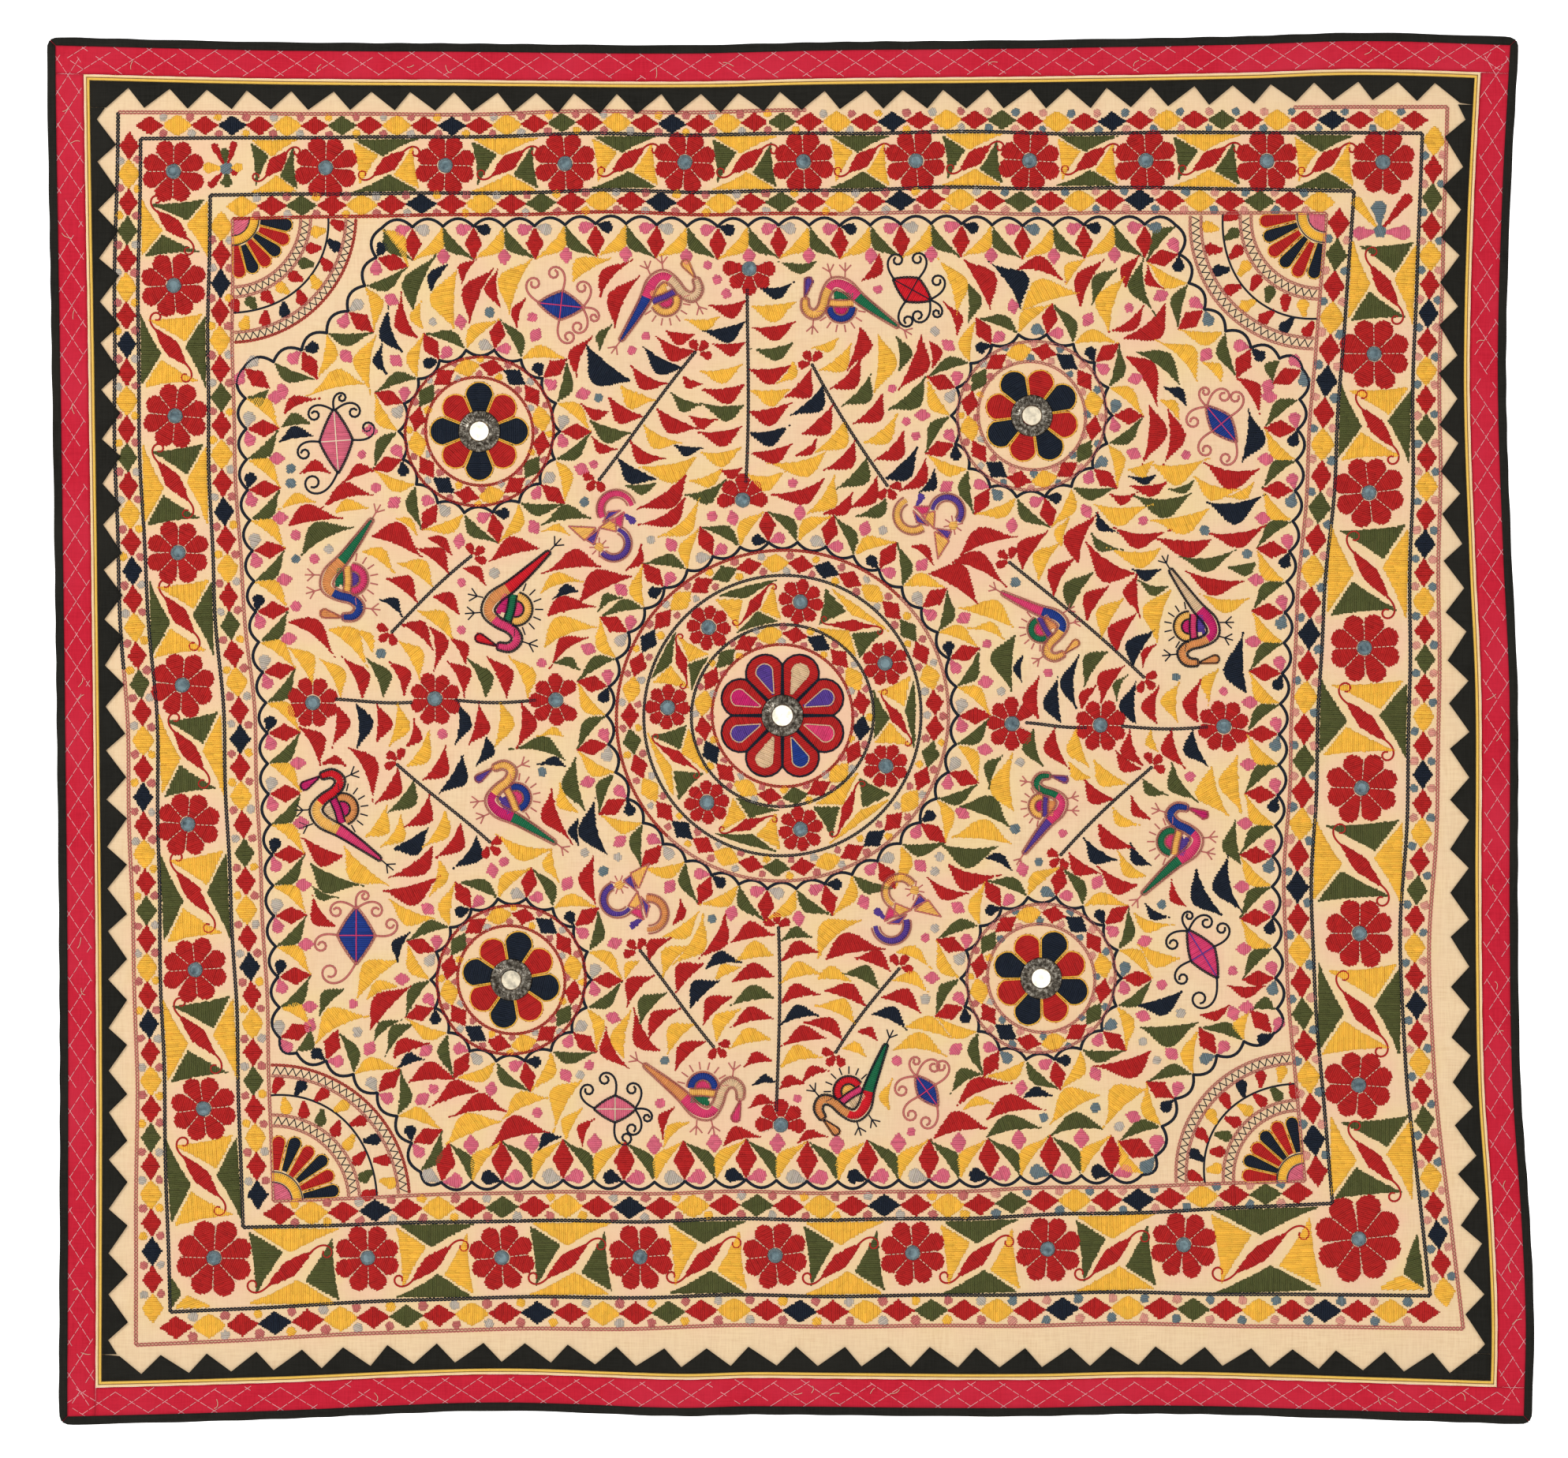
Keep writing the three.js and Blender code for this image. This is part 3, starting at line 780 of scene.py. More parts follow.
def flower(piece, centre, radius, turn, skip=()):
    """A mirror flower: petals round a stitched rim, with pale dashes between them."""
    spread = math.sin(math.pi / PETALS)
    wide = 2.02 * radius * spread / (1 + spread)
    for k in range(PETALS):
        angle = turn + 2 * math.pi * (k + rng.uniform(-0.05, 0.05)) / PETALS
        ray, between = np.exp(1j * angle), np.exp(1j * (angle + math.pi / PETALS))
        if k in skip:
            continue
        tip = centre + radius * rng.uniform(0.96, 1.04) * ray
        petal(piece, centre + PETAL_ROOT * ray, tip, 5.0, wide, "red")
        dashes = np.arange(FIRST_DASH, 0.8 * radius, DASH_STEP)
        lay(piece, centre + dashes * between, centre + (dashes + DASH_LENGTH) * between, "pale", 0.7,
            0.35)
    mirror_rim(piece, centre)


def curl(start, heading, length, turns, hand):
    """A tendril that leaves a point along a heading and winds up tighter and tighter."""
    t = np.linspace(0, 1, 30)
    headings = heading + hand * 2 * math.pi * turns * t ** 2.1
    return start + np.concatenate([[0], np.cumsum(np.exp(1j * headings[:-1]))]) * length / 30


def smooth_path(points, steps=90):
    """A smooth curve through a few points."""
    points = np.asarray(points, complex)
    tangents = np.gradient(points)
    at = np.linspace(0, len(points) - 1, steps)
    i = np.minimum(at.astype(int), len(points) - 2)
    t = at - i
    return smooth_step(t, points[i], points[i + 1], tangents[i], tangents[i + 1])


print("points in a leaf's outline:", len(leaf_outline(0, 30, 9, 1, 0.5)))

# %% [markdown]
# ## The frame lines and the diamond bands
# Four chain-stitch lines divide the border: two bands of diamonds with a band of flowers between.
# They were drawn by eye, so each side bows by a few millimetres; a small wave on every line keeps
# that hand-drawn look. Diamonds repeat in a fixed order of colours, with dots in their gaps.

# %% Frame lines and diamonds
# Corners clockwise from the top left, then how far each side stands off its chord, in z or in x, at
# one, two and three quarters of its length
FRAMES = {
    "outer_pink": ((-511 - 53j, 500 - 49j, 512 - 978j, -497 - 990j),
                   ((-2.5, -0.5, 0), (-9, -12.5, -21.5), (5.5, 8, 7.5), (3, -1, -6.5))),
    "outer_navy": ((-494 - 73j, 481 - 69j, 487 - 953j, -471 - 965j),
                   ((0.5, 2, 1.5), (-9, -13, -20), (4.5, 6, 7), (-1, 0, -7))),
    "inner_navy": ((-441 - 116j, 429 - 113j, 413 - 883j, -416 - 901j),
                   ((1, 2, 3.5), (-9.5, -18.5, -19), (-4.5, -3, 0), (-0.5, -3.5, -7.5))),
    "inner_pink": ((-424 - 134j, 408 - 130j, 392 - 866j, -393 - 881j),
                   ((2.5, 2, 1.5), (-10, -17.5, -19), (-2, -1, 2.5), (1, 0, -6))),
}
HAND_WAVE = 0.7
SIDE_STEPS = 200


def frame_side(name, k):
    """One side of a frame line, from corner k to the next, clockwise."""
    corners, stand_off = FRAMES[name]
    a, b = corners[k], corners[(k + 1) % 4]
    axis = 1j if k % 2 == 0 else 1
    path = smooth_path([a + (b - a) * t + axis * off
                        for t, off in zip((0, 0.25, 0.5, 0.75, 1), (0, *stand_off[k], 0))], SIDE_STEPS)
    t = np.linspace(0, 1, SIDE_STEPS)
    return path + axis * HAND_WAVE * (np.sin(23 * t + k) + np.sin(41 * t + 2 * k)) * np.sin(math.pi * t)


DIAMOND_ORDER = ("red", "yellow", "red", "navy", "red", "yellow", "red", "green")
# Length and width of a diamond as shares of the pitch, and how far its edges pinch in
DIAMOND_SHAPES = {"red": (0.97, 0.68, 0.15), "yellow": (1.0, 0.72, -0.7), "navy": (1.0, 0.7, 0.1),
                  "green": (1.0, 0.69, 0.0)}
# How far the dots stand off, as a share of the pitch, and their radius at a usual pitch
DOT_PLACE, DOT_RADIUS, DIAMOND_PITCH = 0.3, 2.8, 21.0
# To the right of this x the worker used grey thread in place of silver
GREY_SIDE = 150
# For each side, clockwise from the top: the pitch of its diamonds and where their order begins
DIAMOND_ROWS = {
    ("outer_pink", "outer_navy"): ((21, 0), (22, 5), (25, 0), (21.5, 1)),
    ("inner_navy", "inner_pink"): ((22.5, 5), (24, 6), (24, 6), (21.5, 3)),
}


def diamonds(piece, path, count, start):
    """Diamonds end to end along a path, with two dots in each gap between them."""
    pitch = length_of(path) / count
    run = resample(path, pitch / 2)
    for k in range(count):
        middle, before, after = run[2 * k + 1], run[2 * k], run[2 * k + 2]
        way = unit(after - before)
        colour = DIAMOND_ORDER[(k + start) % len(DIAMOND_ORDER)]
        long, wide, pinch = DIAMOND_SHAPES[colour]
        size = rng.uniform(0.95, 1.03)
        lozenge(piece, middle - 0.5 * long * pitch * way, middle + 0.5 * long * pitch * way,
                wide * pitch * size, colour, pinch)
        if k == count - 1 and abs(path[-1] - path[0]) > pitch:
            continue
        names = ("grey", "shell") if after.real > GREY_SIDE else ("salmon", "silver", "salmon", "yellow")
        for side in (1, -1):
            name = names[(k + (side > 0)) % len(names)]
            place = after + side * 1j * way * DOT_PLACE * pitch + way * rng.uniform(-0.8, 0.8)
            dot(piece, place, DOT_RADIUS * pitch / DIAMOND_PITCH * rng.uniform(0.9, 1.05), name)


# The outer pink line is left out along part of the top and worked in navy up the left side
OUTER_PARTS = [((0, 104, "salmon"), (176, 200, "salmon")), ((0, 200, "salmon"),), ((0, 200, "salmon"),),
               ((0, 110, "salmon"), (109, 200, "navy"))]
# The inner one begins in red along the top
INNER_PARTS = [((0, 111, "red"), (110, 200, "salmon")), *[((0, 200, "salmon"),)] * 3]
for k in range(4):
    for first, last, colour in OUTER_PARTS[k]:
        chain("frame_lines", frame_side("outer_pink", k)[first:last], colour, 2.8)
    chain("frame_lines", frame_side("outer_navy", k), "navy", 2.7)
    chain("frame_lines", frame_side("inner_navy", k), "navy", 2.7)
    for first, last, colour in INNER_PARTS[k]:
        chain("frame_lines", frame_side("inner_pink", k)[first:last], colour, 2.6)
    for (outer_name, inner_name), rows in DIAMOND_ROWS.items():
        pitch, start = rows[k]
        middle = ((frame_side(outer_name, k) + frame_side(inner_name, k)) / 2)[1:-1]
        diamonds("diamond_bands", middle, round(length_of(middle) / pitch), start)
print("diamond stitches:", sum(len(rows) for rows in embroidery["diamond_bands"]["satin"]))

# %% [markdown]
# ## The flower border
# Mirror flowers stand between the two navy lines. Every cell between two flowers holds a pinwheel:
# two pairs of bowed triangles, one pair green and one yellow, changing places from cell to cell, and
# a red lozenge on the diagonal whose ends run out in thin curled tails.

# %% Border flowers and pinwheel cells
FLOWERS = 33
# Radii of the flowers of each side, then of those at the corners
ROW_RADII = (23.4, 26.5, 25.2, 24.4)
CORNER_RADII = {0: 23.8, 10: 24.8, 17: 33.5, 25: 29.5}
# Odd little flowers after two corner flowers: the room they take, then for each its place and rows of
# (degrees, colour, length, width)
ODD_AFTER, ODD_ROOM = (0, 10), 38
ODD_FLOWERS = [
    (-428.8 - 95.6j, [(118, "red", 21, 5), (97, "green", 15, 6), (72, "red", 21, 5),
                      (5, "yellow", 12, 7), (-32, "red", 9, 4), (-88, "green", 14, 8),
                      (228, "red", 19, 5), (178, "yellow", 17, 8)]),
    (448.7 - 143.8j, [(185, "pink", 20, 10), (-3, "pink", 23, 11), (92, "grey", 23, 11),
                      (50, "red", 36, 8), (128, "yellow", 32, 8)]),
]
# Small triangles behind the two large lower corner flowers
CORNER_PATCHES = [
    ((477 - 906j, 467 - 936j, 482 - 946j), "green"), ((448 - 948j, 482 - 948j, 465 - 938j), "yellow"),
    ((-472 - 938j, -470 - 961j, -463 - 951j), "green"), ((-467 - 962j, -441 - 961j, -458 - 953j), "yellow"),
]


def mirror_place(node):
    """The middle of a mirror's solid, in millimetres."""
    low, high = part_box(node)
    return ((low.x + high.x) / 2 + 1j * (low.z + high.z) / 2) / MM


flowers = [mirror_place(f"flower_mirror_{n:02d}") for n in range(1, FLOWERS + 1)]
# The flowers of each side, corner to corner, as places in that list
ROWS = [range(0, 11), range(10, 18), range(17, 26), [*range(25, 33), 0]]


# A pinwheel's triangles by a line and by a flower, as rows of (share along, share across, rise of the
# bow to the next corner, what one side adds to that rise and the other takes off), then the shares
# of its lozenge's two tips
BORDER_WHEEL = (((-0.96, 1.0, -0.3, 0), (-0.08, 0.38, 1.0, 0), (1.05, 1.0, 0.0, 0)),
                ((-1.04, 0.9, 1.2, 0), (-0.88, -0.74, 0.6, 0), (-0.27, 0.38, -0.3, 0)),
                ((-0.42, -0.4), (0.62, 0.54)))


def pinwheel(piece, at, wheel, swapped, leans, width, pinch, tails):
    """Four triangles and a curled lozenge between two flowers; at gives the place of two shares."""
    by_line, by_flower, tips = wheel
    colours = ("green", "yellow") if swapped else ("yellow", "green")
    for sign in (1, -1):
        for corners, colour, lean in zip((by_line, by_flower), colours, leans):
            rows = [(at(sign * s, sign * t), rise + sign * more) for s, t, rise, more in corners]
            fill(piece, patch(*rows), colour, lean)
    a, b = (at(*tip) for tip in tips)
    lozenge(piece, a, b, width, "red", pinch)
    root, turn, reach, turns, thread = tails
    for tip, way in ((a, a - b), (b, b - a)):
        tail = curl(tip - root * unit(way), np.angle(way) + turn, reach, turns, -1)
        stem_stitch(piece, tail, "red", thread, 1.8)


def line_off(name, k, middle, along):
    """How far a frame line passes to the left of a place."""
    off = (frame_side(name, k) - middle) / along
    return off[np.argmin(np.abs(off.real))].imag


# How far a cell stays off the navy lines, and how far it reaches in between the petals beside it
LINE_GAP, FLOWER_LAP = 2.0, 1.5
radii = dict(CORNER_RADII)
for side, row in enumerate(ROWS):
    for n in row[1:-1]:
        radii[n] = ROW_RADII[side] * rng.uniform(0.97, 1.03)
for n, centre in enumerate(flowers):
    flower("border_flowers", centre, radii[n], 0.39 + rng.uniform(-0.12, 0.12))
cells = 0
for side, row in enumerate(ROWS):
    for first, second in zip(row[:-1], row[1:]):
        way = unit(flowers[second] - flowers[first])
        start = radii[first] + (ODD_ROOM if first in ODD_AFTER else 0)
        half = (abs(flowers[second] - flowers[first]) - start - radii[second]) / 2
        middle = flowers[first] + way * (start + half)
        outer_off, inner_off = (line_off(name, side, middle, way) for name in ("outer_navy", "inner_navy"))
        centre = middle + 1j * way * (outer_off + inner_off) / 2
        along, across = way * (half + FLOWER_LAP), 1j * way * ((outer_off - inner_off) / 2 - LINE_GAP)
        pinwheel("border_cells", lambda s, t: centre + s * along + t * across, BORDER_WHEEL, cells % 2 == 1,
                 (np.angle(across), np.angle(along)), 11.5, -0.6,
                 (3, 0.1, 0.62 * abs(along + across) + 9, 1.0, 1.5))
        cells += 1
for centre, rays in ODD_FLOWERS:
    for degrees, colour, reach, wide in rays:
        ray = np.exp(1j * math.radians(degrees))
        petal("border_flowers", centre + 4 * ray, centre + reach * ray, 1.0, wide, colour)
    dot("border_flowers", centre, 4.6, "grey")
for corners, colour in CORNER_PATCHES:
    fill("border_cells", patch(*[(corner, -0.5) for corner in corners]), colour, 0.3)
print("flowers:", len(flowers), "cells:", cells)

# %% [markdown]
# ## Mirror flowers of the field
# Nine smaller flowers stand on the upright and level stems through the middle of the field. Those at
# the upright stems' ends are half flowers, so some petals are left out. They are sewn before the
# vine, which then leaves out what would run into them.

# %% Mirror flowers of the field
# Rows of (centre, angle of the first petal in degrees, petals left out)
FIELD_FLOWERS = [
    (-31 - 172j, -90, (3, 4, 5)), (-36 - 348j, 90, (3, 4, 5)), (-7 - 823j, 90, (3, 4, 5)),
    (-363 - 502j, 22, ()), (-270 - 499j, 22, ()), (-178 - 500j, 180, (4,)),
    (169 - 518j, 90, (6,)), (236 - 519j, 22, ()), (330 - 520j, 60, ()),
]
FIELD_FLOWER = 19.4

for centre, degrees, skip in FIELD_FLOWERS:
    flower("field_flowers", centre, FIELD_FLOWER, math.radians(degrees), skip)
print("field flowers:", len(FIELD_FLOWERS))

# %% [markdown]
# ## The scalloped vine
# A navy line runs in scallops inside the border and round each medallion. At every other cusp stands
# a red lozenge between two drops; at the cusps between, a green and a yellow leaf spread to the
# lozenges' tips, with a pink bud beyond them. One function draws it along any closed path.

# %% The vine round the field
LOZENGE_LENGTH, LOZENGE_WIDTH = 25.0, 12.8
SCALLOP_PITCH, SCALLOP_RISE = 23.0, 6.0
DROP_LENGTH, DROP_WIDTH = 13.0, 9.0
# Where a bud begins and ends, off its cusp, and its width
BUD_FROM, BUD_TO, BUD_WIDTH = 17, 29, 9.4
# Rows of (side of the cusp, belly, hollow, colour), and where a leaf is fullest
VINE_LEAVES = ((1, -9.5, -0.8, "green"), (-1, 10.5, 1.2, "yellow"))
VINE_PEAK = 0.4
# The row along the bottom, below this z, is worked larger
BOTTOM_ROW, BOTTOM_SIZE = -845, 1.22
# A lozenge, leaf or bud is left out where more than this share of its place is worked, as in the
# corners of the field, where they would run into each other
MOST_TAKEN = 0.3


def taken(outline):
    """How much of an outline is worked already, from 0 to 1."""
    cells = worked[cells_in(outline)]
    return cells.mean() if cells.size else 0.0


def vine(piece, path, count, rise=SCALLOP_RISE, size=1.0):
    """Scallops along a closed path, with leaves on its right-hand side."""
    cusps = resample(closed(path), length_of(closed(path)) / count)[:-1]
    count = len(cusps)
    way = unit(np.roll(cusps, -1) - np.roll(cusps, 1))
    out = -1j * way
    sizes = size * np.where(cusps.imag < BOTTOM_ROW, BOTTOM_SIZE, 1.0)
    tips = cusps + LOZENGE_LENGTH * sizes * out
    for here, following in zip(cusps, np.roll(cusps, -1)):
        stem_stitch(piece, np.append(bow(here, following, rise), following), "navy", 2.3, 2.8)
    # Lozenges stand at every other scallop, and the leaves between them come after
    for i in (*range(0, count, 2), *range(1, count, 2)):
        here, size = cusps[i], sizes[i]
        if i % 2 == 0:
            a, half = here + 1.2 * out[i], LOZENGE_WIDTH * size / 2
            if taken(leaf_outline(a, tips[i], half, -half, 0.5)) > MOST_TAKEN:
                continue
            lozenge(piece, a, tips[i], 2 * half, "red", 0.0)
            second = ("silver" if here.real < GREY_SIDE else "grey", "navy")[(i // 2) % 2]
            for sign, name in ((-1, "pink"), (1, second)):
                lean = unit(sign * way[i] + 0.3 * out[i])
                tip = here + DROP_LENGTH * size * lean
                petal(piece, here + 1.6 * lean, tip, 0.6, DROP_WIDTH * size, name)
        else:
            root = here + 1.4 * out[i]
            for sign, belly, hollow, colour in VINE_LEAVES:
                a, b = root + 0.8 * sign * way[i], tips[(i + sign) % count] - 0.6 * sign * way[i]
                shape = (a, b, belly * min(size, 1), hollow, VINE_PEAK)
                if taken(leaf_outline(*shape)) < MOST_TAKEN:
                    leaf(piece, shape, colour)
            a, b = here + BUD_FROM * size * out[i], here + BUD_TO * size * out[i]
            if taken(arc((a + b) / 2, 4 * size, 0, 6.28, 9)) < MOST_TAKEN:
                lozenge(piece, a, b, BUD_WIDTH * size, "pink", -0.4)


# How far the vine stays off the corners of the frame, and off its sides
FAN_REACH, VINE_INSET = 114.0, 9.0


def corner_axes(k):
    """Corner k of the inner frame, and unit ways along the lines that leave it."""
    corner = FRAMES["inner_pink"][0][k]
    to_next = frame_side("inner_pink", k)[SIDE_STEPS // 8] - corner
    to_last = frame_side("inner_pink", (k + 3) % 4)[-SIDE_STEPS // 8] - corner
    return corner, unit(to_next), unit(to_last)


def field_path():
    """The vine's line, clockwise: a quarter turn round each corner fan, then along the frame."""
    least = math.asin(VINE_INSET / FAN_REACH)
    turn = np.linspace(math.pi / 2 - least, least, 30)
    path = []
    for k in range(4):
        corner, to_next, to_last = corner_axes(k)
        path.append(corner + FAN_REACH * (np.cos(turn) * to_next + np.sin(turn) * to_last))
        side = frame_side("inner_pink", k)
        side = side - VINE_INSET * left_of(side)
        ends = FRAMES["inner_pink"][0][k], FRAMES["inner_pink"][0][(k + 1) % 4]
        nearest = np.minimum(*[np.abs(side - end) for end in ends])
        path.append(side[nearest > FAN_REACH + 2])
    return np.concatenate(path)


field_edge = field_path()
scallops = 2 * round(length_of(field_edge) / SCALLOP_PITCH / 2)
vine("field_vine", field_edge, scallops)
print("scallops round the field:", scallops)

# %% [markdown]
# ## The corner fans
# A quarter rosette fills each corner of the field: a pink heart, a yellow ring, petals in navy and
# red, two ladders of chain stitch with a zigzag between, and a stem with drops on both sides. All of
# it is laid out by radius and angle from the corner of the frame.

# %% Corner fans
FAN_PETALS = 6
# Clockwise from the upper left; radii below are those of a fan of size 1
FAN_SIZES = (1.0, 1.1, 1.04, 1.1)
FAN_HEART, FAN_RING, FAN_RING_WIDTH, FAN_STEM = 12.5, 16.6, 6.4, 73
FAN_LADDERS = ((52, 59.5), (86.5, 94))
# Rows of (root, tip) of the drops, on the outer and on the inner side of the stem
FAN_DROP_RADII = ((74.5, 85.5), (72, 61))
# The two left-hand fans end in a red line
RED_EDGED = (0, 3)
FAN_DROPS = ("red", "yellow", "navy", "red", "red", "green", "yellow", "red") * 2


def zigzag(piece, place, low, high, step):
    """A thin navy zigzag line between two arcs."""
    angles = np.arange(step, math.pi / 2 - step / 2, step)
    points = place(np.where(np.arange(len(angles)) % 2 == 0, low, high), angles)
    lay(piece, points[:-1], points[1:], "navy", 0.75, 0.1, 0.0, 0.45)


def fan(piece, k):
    """The quarter rosette of corner k."""
    corner, to_next, to_last = corner_axes(k)

    def place(radius, angle):
        return corner + FAN_SIZES[k] * radius * (np.cos(angle) * to_next + np.sin(angle) * to_last)

    sweep = np.linspace(0.02, math.pi / 2 - 0.02, 40)
    heart = np.append(place(FAN_HEART, sweep), corner + 1.5 * (to_next + to_last))
    fill(piece, heart, "pink", 0.6 + k)
    ribbon(piece, place(FAN_RING, sweep), [FAN_RING_WIDTH] * 2, [(1, "yellow")])
    for radius in (20.2, 12.9):
        stem_stitch(piece, place(radius, sweep), "slate", 0.9)
    for n in range(FAN_PETALS):
        angle = math.pi / 2 * (n + 0.5) / FAN_PETALS
        outline = petal_outline(place(21.5, angle), place(rng.uniform(45, 48), angle), 4.6, 10.2)
        fill(piece, outline, ("navy", "red")[(n + k // 2) % 2], math.pi / 2 + np.angle(outline[5] - corner))
        stem_stitch(piece, outline, "yellow", 0.9, 2.6)
    last = "red" if k in RED_EDGED else "salmon"
    for (low, high), edge in zip(FAN_LADDERS, ("salmon", last)):
        chain(piece, place(low, sweep), "salmon", 2.2)
        chain(piece, place(high, sweep), edge, 2.2)
        zigzag(piece, place, low + 1.2, high - 1.2, 2.9 / high)
    stem_stitch(piece, place(FAN_STEM + 1.5 * np.sin(3 * sweep), sweep), "navy", 1.6)
    for n, colour in enumerate(FAN_DROPS):
        angle = math.pi / 2 * (n + 0.4) / len(FAN_DROPS)
        root, tip = FAN_DROP_RADII[n % 2]
        petal(piece, place(root, angle), place(tip, angle + 0.06), 2.0, 8.6, colour)


for k in range(4):
    fan("corner_fans", k)
print("fans: 4, petals each:", FAN_PETALS)

# %% [markdown]
# ## The medallions
# Each of the four smaller medallions has eight petals, navy and red in turn, inside two rings of chain
# stitch with diamonds between them. The central one is built up further: broad petals with a drop in
# each, two rings of diamonds, and a ring of seven mirror flowers. Everything is laid out in polar
# coordinates round the big mirrors, whose places come from the solids.

# %% Small medallions
# Rows of (tip's radius, width, colour), in turn
SMALL_PETALS = ((37.5, 21.5, "navy"), (35.5, 20.5, "red"))
# Radii of the two chain rings, of the diamonds between them and of the vine
SMALL_CHAINS, SMALL_DIAMONDS, SMALL_VINE = (41, 56.5), 48.7, 62
CIRCLE_STEPS = 160


def circle(centre, radius, wave):
    """A hand-drawn circle: closed, counter-clockwise, a little out of round."""
    angle = np.linspace(0, 2 * math.pi, CIRCLE_STEPS)
    return centre + (radius + wave * np.sin(2 * angle + radius)) * np.exp(1j * angle)


def small_medallion(piece, centre, degrees, ring_colour):
    """Petals, two rings with diamonds and a vine round one large mirror."""
    turn = np.exp(1j * math.radians(degrees))
    for k in range(8):
        ray = turn * np.exp(0.25j * math.pi * k)
        long, wide, colour = SMALL_PETALS[k % 2]
        outline = petal_outline(centre + 14 * ray, centre + long * ray, 10.5, wide)
        fill(piece, outline, colour, np.angle(ray) + math.pi / 2)
        stem_stitch(piece, outline, "yellow", 1.1, 2.4, 0.2)
    for radius in SMALL_CHAINS:
        chain(piece, circle(centre, radius, 0.8), ring_colour, 2.2)
    diamonds(piece, circle(centre, SMALL_DIAMONDS, 0.8), 16, 1)
    vine("medallion_vines", circle(centre, SMALL_VINE, 1.0)[:-1], 18, 4.4, 0.95)


# Rows of (name of the mirror, turn of the petals in degrees, colour of the two rings)
SMALL = [("upper_left", 0, "red"), ("upper_right", 30, "salmon"), ("lower_left", -12, "red"),
         ("lower_right", -21, "salmon")]
for name, degrees, ring_colour in SMALL:
    small_medallion("small_medallions", mirror_place(f"mirror_{name}"), degrees, ring_colour)
print("small medallions:", len(SMALL))

# %% The central medallion
HEART_DROPS = ("sand", "purple", "magenta", "purple", "sand", "blue", "rose", "purple")
RING_FLOWERS = [130, 81, 27, -26, -81, -131, 176]
# Radius of the ring, of its flowers, and how far its cells reach inwards and outwards
RING_RADIUS, RING_FLOWER, RING_HALF = 87.5, 16.8, 16.2
# Rows of (radius, wave, colour) of the inner chain rings
CENTRE_CHAINS = ((53.8, 0.6, "red"), (69.2, 0.6, "navy"), (106, 0.8, "navy"))
# Radii of the outermost chain ring and of the vine, and the steps of that ring that are red, not pink
EDGE_CHAIN, CENTRE_VINE = 126, 133
RED_FROM, RED_TO = 20, 100
# Rows of (radius, how many, where their order begins) of the rings of diamonds
CENTRE_DIAMONDS = ((61.3, 20, 0), (116, 37, 4))
# The pinwheel of the ring, in the same kinds of rows as the border's
RING_WHEEL = (((-0.95, 0.97, 0.0, 0), (-0.12, 0.36, 0.8, 0), (1.0, 0.97, 0.0, -1.0)),
              ((-1.1, 0.86, 0.9, 0), (-0.9, -0.8, 0.6, 0), (-0.28, 0.34, 0.0, 0)),
              ((-0.6, -0.62), (0.66, 0.66)))


def ring_cell(piece, centre, middle, half, swapped):
    """The pinwheel between two flowers of the ring, bent round the centre."""
    reach = half - 17.5 / RING_RADIUS

    def at(s, t):
        return centre + (RING_RADIUS + RING_HALF * t) * np.exp(1j * (middle - s * reach))

    pinwheel(piece, at, RING_WHEEL, swapped, (middle, middle + math.pi / 2), 8.8, 0.4, (2, 0, 17, 0.9, 1.3))


def central_medallion(piece, centre):
    """Petals with drops, rings of chain stitch, diamonds and flowers, and a vine."""
    for k in range(8):
        ray = np.exp(1j * math.radians(67.5 + 45 * k))
        tip, root = centre + 49 * ray, centre + 13 * ray
        outline = petal_outline(root, tip, 9.0, 29.5)
        fill(piece, outline, "red", np.angle(ray) + math.pi / 2)
        stem_stitch(piece, outline, "navy", 1.6, 2.4, 0.3)
        drop = petal_outline(centre + 18 * ray, centre + 42 * ray, 1.0, 13.5)
        fill(piece, drop, HEART_DROPS[k], np.angle(ray) + math.pi / 2, 0.35)
        stem_stitch(piece, closed(drop), "sand", 1.1, 2.0, 0.5)
    for radius, wave, colour in CENTRE_CHAINS:
        chain(piece, circle(centre, radius, wave), colour, 2.2)
    edge = circle(centre, EDGE_CHAIN, 0.8)
    chain(piece, edge[RED_FROM:RED_TO + 1], "red", 2.3)
    chain(piece, np.concatenate([edge[RED_TO:-1], edge[:RED_FROM + 1]]), "salmon", 2.3)
    for radius, count, start in CENTRE_DIAMONDS:
        diamonds(piece, circle(centre, radius, 0.6), count, start)
    for k, degrees in enumerate(RING_FLOWERS):
        angle = math.radians(degrees)
        flower(piece, centre + RING_RADIUS * np.exp(1j * angle), RING_FLOWER, angle)
        following = RING_FLOWERS[(k + 1) % len(RING_FLOWERS)]
        turn = (degrees - following) % 360
        ring_cell(piece, centre, math.radians(degrees - turn / 2), math.radians(turn) / 2, k % 2 == 0)
    vine("medallion_vines", circle(centre, CENTRE_VINE, 1.0)[:-1], 38, 4.8, 0.98)


CENTRE = mirror_place("mirror_centre")
central_medallion("central_medallion", CENTRE)
ring_mirrors = [CENTRE + RING_RADIUS * np.exp(1j * math.radians(d)) for d in RING_FLOWERS]
print("central medallion at", CENTRE, "ring flowers:", len(ring_mirrors))

# %% [markdown]
# ## Stems and berries
# Straight stems of chain stitch branch through the field. Three berries or a mirror flower close
# each end. Their leaves come later, once the figures beside them have their places.

